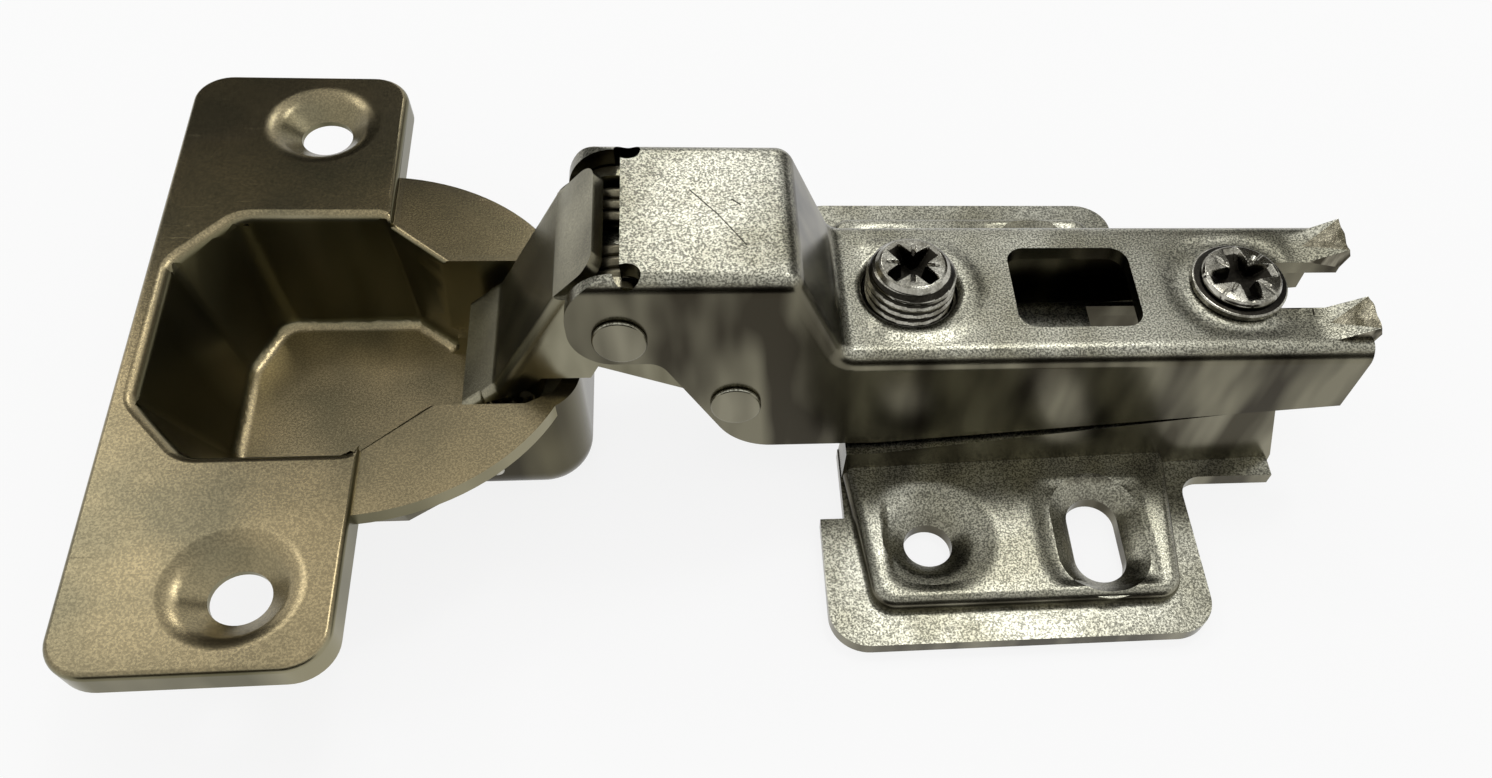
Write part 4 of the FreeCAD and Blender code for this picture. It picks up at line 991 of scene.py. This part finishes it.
@dataclass(frozen=True)
class ClosingSpring:
    """The closing spring: round wire in two coils on the front bush, joined by a bridge.

    Its centre is the X and Z of the coils' axis, and start is how far from the middle a coil begins.
    """

    centre: Pair = (-24.6, 17.8)
    wire: float = 1.2
    coil_radius: float = 2.85
    start: float = 1.4
    pitch: float = 1.25
    turns: float = 2.5
    leg: float = 2.0
    coil_steps: int = 150
    leg_steps: int = 6
    wire_steps: int = 20

    def line(self) -> np.ndarray:
        """The wire's middle line: leg, coil, bridge, coil and leg, as one path.

        Returns:
            Array of points in millimetres.
        """
        turn = np.linspace(0, self.turns * 2 * np.pi, self.coil_steps)
        y = self.start + turn / (2 * np.pi) * self.pitch
        coil = np.stack([self.centre[0] + self.coil_radius * np.cos(turn), y,
                         self.centre[1] + self.coil_radius * np.sin(turn)], -1)
        drop = np.linspace(0.1, self.leg, self.leg_steps)[:, None]
        leg = coil[-1] + drop * np.array([0.0, 0.0, -1.0])
        half = np.concatenate([coil, leg])
        other = half * np.array([1.0, -1.0, 1.0])
        return np.concatenate([other[::-1], half])

    def make(self, materials: dict[Plating, bpy.types.Material]) -> None:
        """Carry a circle along the middle line.

        Args:
            materials: finished materials.
        """
        line = self.line()
        ahead = np.gradient(line, axis=0)
        ahead /= np.linalg.norm(ahead, axis=1, keepdims=True)
        hint = line * np.array([1.0, 0.0, 1.0]) - np.array([self.centre[0], 0.0, self.centre[1]])
        side = hint - (hint * ahead).sum(1, keepdims=True) * ahead
        side /= np.linalg.norm(side, axis=1, keepdims=True)
        third = np.cross(ahead, side)
        turn = np.linspace(0, 2 * np.pi, self.wire_steps, endpoint=False)
        cosine, sine = np.cos(turn)[None, :, None], np.sin(turn)[None, :, None]
        ring = (cosine * side[:, None] + sine * third[:, None]) * self.wire / 2
        made = surface("closing_spring_skin", (line[:, None] + ring) * MM, around=True)
        capped(made)
        made.data.materials.append(materials[Plating.WIRE])
        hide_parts("closing_spring")
        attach(made, "arm")
        LOG.info("closing spring: %d faces", len(made.data.polygons))


def capped(made: bpy.types.Object) -> None:
    """Close every open rim of a mesh with one face.

    Args:
        made: the piece.
    """
    work = bmesh.new()
    work.from_mesh(made.data)
    bmesh.ops.holes_fill(work, edges=[e for e in work.edges if e.is_boundary], sides=0)
    bmesh.ops.recalc_face_normals(work, faces=work.faces)
    work.to_mesh(made.data)
    work.free()


def background(graph: Graph) -> Socket:
    """Add the switch that shows a surface as background to the camera, to metal and to glass.

    Args:
        graph: the node tree to add it to.

    Returns:
        An output that is one for camera, glossy and transmission rays.
    """
    path = graph.node("ShaderNodeLightPath")
    total = path.outputs["Is Camera Ray"]
    for name in ("Is Glossy Ray", "Is Transmission Ray"):
        total = graph.number("MAXIMUM", total, path.outputs[name])
    return total


@dataclass(frozen=True)
class Studio:
    """Camera of the photograph, a pale floor and plain soft light.

    Places are in metres, but the camera's is in millimetres. Its angles are in degrees, and the point that
    it looks straight at is counted in the photograph's pixels.
    """

    location: Triple = (-17.87, -65.11, 80.21)
    angles: Triple = (27.65, -4.387, -4.965)
    focal_px: float = 1090.2
    centre_px: Pair = (841.4, 634.0)
    frame_px: Pair = (1492.0, 778.0)
    sensor_mm: float = 36.0
    clip_start: float = 0.005
    floor_half: float = 2.0
    floor_level: float = -0.0002
    paper: str = "#f4f4f4"
    sky: str = "#ffffff"
    floor_glow: float = 0.85
    room_light: float = 0.75

    def camera(self) -> None:
        """Set the camera where the photograph was taken from."""
        data = bpy.data.cameras.new("camera")
        wide, high = self.frame_px
        data.sensor_width = self.sensor_mm
        data.sensor_fit = "HORIZONTAL"
        data.lens = self.focal_px / wide * data.sensor_width
        data.shift_x = (wide / 2 - self.centre_px[0]) / wide
        data.shift_y = (self.centre_px[1] - high / 2) / wide
        data.clip_start = self.clip_start
        made = bpy.data.objects.new("camera", data)
        made.location = Vector(self.location) * MM
        made.rotation_euler = Euler([math.radians(a) for a in self.angles], "XYZ")
        bpy.context.scene.collection.objects.link(made)
        bpy.context.scene.camera = made

    def floor(self) -> None:
        """Lay the floor: white to the camera and to reflections, and it keeps the hinge's soft shadow."""
        flat = np.linspace(-self.floor_half, self.floor_half, 3)
        across, along = np.meshgrid(flat, flat, indexing="ij")
        made = surface("floor", np.stack([across, along, np.full_like(across, self.floor_level)], -1))
        graph = Graph(bpy.data.materials.new("matt paper floor"))
        paper = graph.node("ShaderNodeBsdfDiffuse", {"Color": linear(self.paper)})
        glow = graph.node("ShaderNodeEmission", {"Color": linear(self.sky), "Strength": 1.0})
        seen = graph.number("MULTIPLY", background(graph), self.floor_glow)
        mix = graph.node("ShaderNodeMixShader", {"0": seen, "1": paper.outputs[0], "2": glow.outputs[0]})
        graph.node("ShaderNodeOutputMaterial", {"Surface": mix.outputs[0]})
        made.data.materials.append(graph.owner)

    def card(self, name: str, place: Triple, size: Pair, shade: str) -> None:
        """Stand a card that metal reflects and the camera doesn't see.

        Args:
            name: its name.
            place: its middle in metres; it faces the hinge.
            size: width and height in metres.
            shade: its colour.
        """
        ends = np.array([-0.5, 0.5])
        wide, high = np.meshgrid(ends * size[0], ends * size[1], indexing="ij")
        made = surface(name, np.stack([wide, high, np.zeros((2, 2))], -1))
        turn = Vector(place).to_track_quat("Z", "Y").to_matrix().to_4x4()
        turn.translation = Vector(place)
        made.data.transform(turn)
        graph = Graph(bpy.data.materials.new(name + " cloth"))
        cloth = graph.node("ShaderNodeEmission", {"Color": linear(shade), "Strength": 1.0})
        graph.node("ShaderNodeOutputMaterial", {"Surface": cloth.outputs[0]})
        made.data.materials.append(graph.owner)
        made.visible_camera = False
        made.visible_diffuse = False
        made.visible_shadow = False

    def lamp(self, name: str, place: Triple, aim: Triple, size: float, power: float) -> None:
        """Hang one soft lamp.

        Args:
            name: its name.
            place: where it hangs, in metres.
            aim: what it points at, in metres.
            size: its edge in metres.
            power: its strength in watts.
        """
        data = bpy.data.lights.new(name, "AREA")
        data.size = size
        data.energy = power
        made = bpy.data.objects.new(name, data)
        made.location = place
        made.rotation_euler = (Vector(aim) - Vector(place)).to_track_quat("-Z", "Y").to_euler()
        bpy.context.scene.collection.objects.link(made)

    def room(self) -> None:
        """Fill the room: white as background and in reflections, and a soft grey that lights the floor."""
        graph = Graph(bpy.data.worlds.new("room"))
        white = graph.node("ShaderNodeBackground", {"Color": linear(self.sky)})
        soft = graph.node("ShaderNodeBackground", {"Strength": self.room_light})
        mix = graph.node("ShaderNodeMixShader", {
            "0": background(graph), "1": soft.outputs[0], "2": white.outputs[0]})
        graph.node("ShaderNodeOutputWorld", {"Surface": mix.outputs[0]})
        bpy.context.scene.world = graph.owner

    def make(self) -> None:
        """Set camera, floor, room, cards and lamps."""
        self.camera()
        self.floor()
        self.room()
        self.card("left flag", (-0.24, 0.42, 0.22), size=(0.34, 0.44), shade="#2c2a22")
        self.card("front flag", (0.0, -0.42, 0.16), size=(0.9, 0.30), shade="#2c2a24")
        self.card("right flag", (0.34, 0.40, 0.26), size=(0.26, 0.34), shade="#38352c")
        self.lamp("key", (0.11, 0.17, 0.39), (0.0, 0.0, 0.0), size=0.09, power=0.26)
        self.lamp("side", (-0.31, 0.22, 0.33), (-0.05, -0.02, 0.0), size=0.13, power=0.16)
        self.lamp("back", (-0.03, 0.29, 0.29), (-0.02, 0.0, 0.02), size=0.06, power=0.10)
        bpy.context.scene.view_settings.view_transform = "Standard"
        LOG.info("studio is set")


# Each plate wing has a countersunk hole and a slot, with a dish round each. The arm has a swell round the
# overlay screw and a dish round the fixing screw. The cup's mouth, leaves, screw dimples and wings each have
# their own rounding.
SHEETS: tuple[SheetPiece, ...] = (
    SheetPiece("mounting_plate", "plate", "plate_steel", Plating.SATIN, edge_mm=0.3, zones=(
        Zone((-3.8, 10.6, 2.5), (8.5, 21.3, 2.7), 0.5, 4, clamp=False),
        Zone((-3.8, -21.3, 2.5), (8.5, -10.6, 2.7), 0.5, 4, clamp=False),
    ), presses=tuple(Press(2.6, (-4.2, low), (20.0, high), (
        Swell((0.0, middle), (0.0, middle), 4.2, 1.9, -0.3),
        Swell((15.0, middle - 2.0), (15.0, middle + 2.0), 4.2, 1.9, -0.3)), fade=0.8)
        for middle, low, high in ((16.0, 10.0, 21.4), (-16.0, -21.4, -10.0)))),
    SheetPiece("hinge_arm", "arm", "arm_steel", Plating.ARM, edge_mm=0.28, tips=33.6, presses=(
        Press(15.2, (-5.4, -5.9), (32.0, 5.9), (
            Swell((-1.65, 0.0), (-1.65, 0.0), 5.2, 1.4, 0.2),
            Swell((26.4, 0.0), (26.4, 0.0), 5.2, 1.6, -0.12))),)),
    SheetPiece("outer_link", "outer", "link_steel", Plating.LINK),
    SheetPiece("inner_link", "inner", "link_steel", Plating.LINK),
    SheetPiece("hinge_cup", "cup", "cup_steel", Plating.CUP, edge_mm=0.25, drum=(-46.3, 9.6), zones=(
        Zone((-61.9, -12.7, 11.3), (-44.55, 12.7, 11.6), 0.75, 5, clamp=False),
        Zone((-44.7, -12.0, 10.6), (-38.9, 12.0, 11.2), 0.4, 4, clamp=False),
        Zone((-57.0, 18.5, 11.3), (-46.5, 29.5, 11.6), 0.8, 5, clamp=False),
        Zone((-57.0, -29.5, 11.3), (-46.5, -18.5, 11.6), 0.8, 5, clamp=False),
        Zone((-63.4, -30.7, 11.3), (-44.5, 30.7, 11.6), 0.55),
    )),
    SheetPiece("front_rivet", "arm", "rivet_steel", Plating.SATIN, edge_mm=0.2),
    SheetPiece("rear_rivet", "arm", "rivet_steel", Plating.SATIN, edge_mm=0.2),
    SheetPiece("front_bush", "arm", "rivet_steel", Plating.SATIN),
    SheetPiece("outer_cup_pin", "cup", "rivet_steel", Plating.BRIGHT),
    SheetPiece("inner_cup_pin", "cup", "rivet_steel", Plating.BRIGHT),
)


def main() -> None:
    """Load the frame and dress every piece."""
    logging.basicConfig(level=logging.INFO, format="%(message)s")
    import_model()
    Studio().make()
    materials = {plating: finish.build(plating.value) for plating, finish in FINISHES.items()}
    for sheet in SHEETS:
        sheet.make(materials)
    OverlayScrew().make(materials)
    FixingScrew().make(materials)
    ClosingSpring().make(materials)


if __name__ == "__main__":
    main()
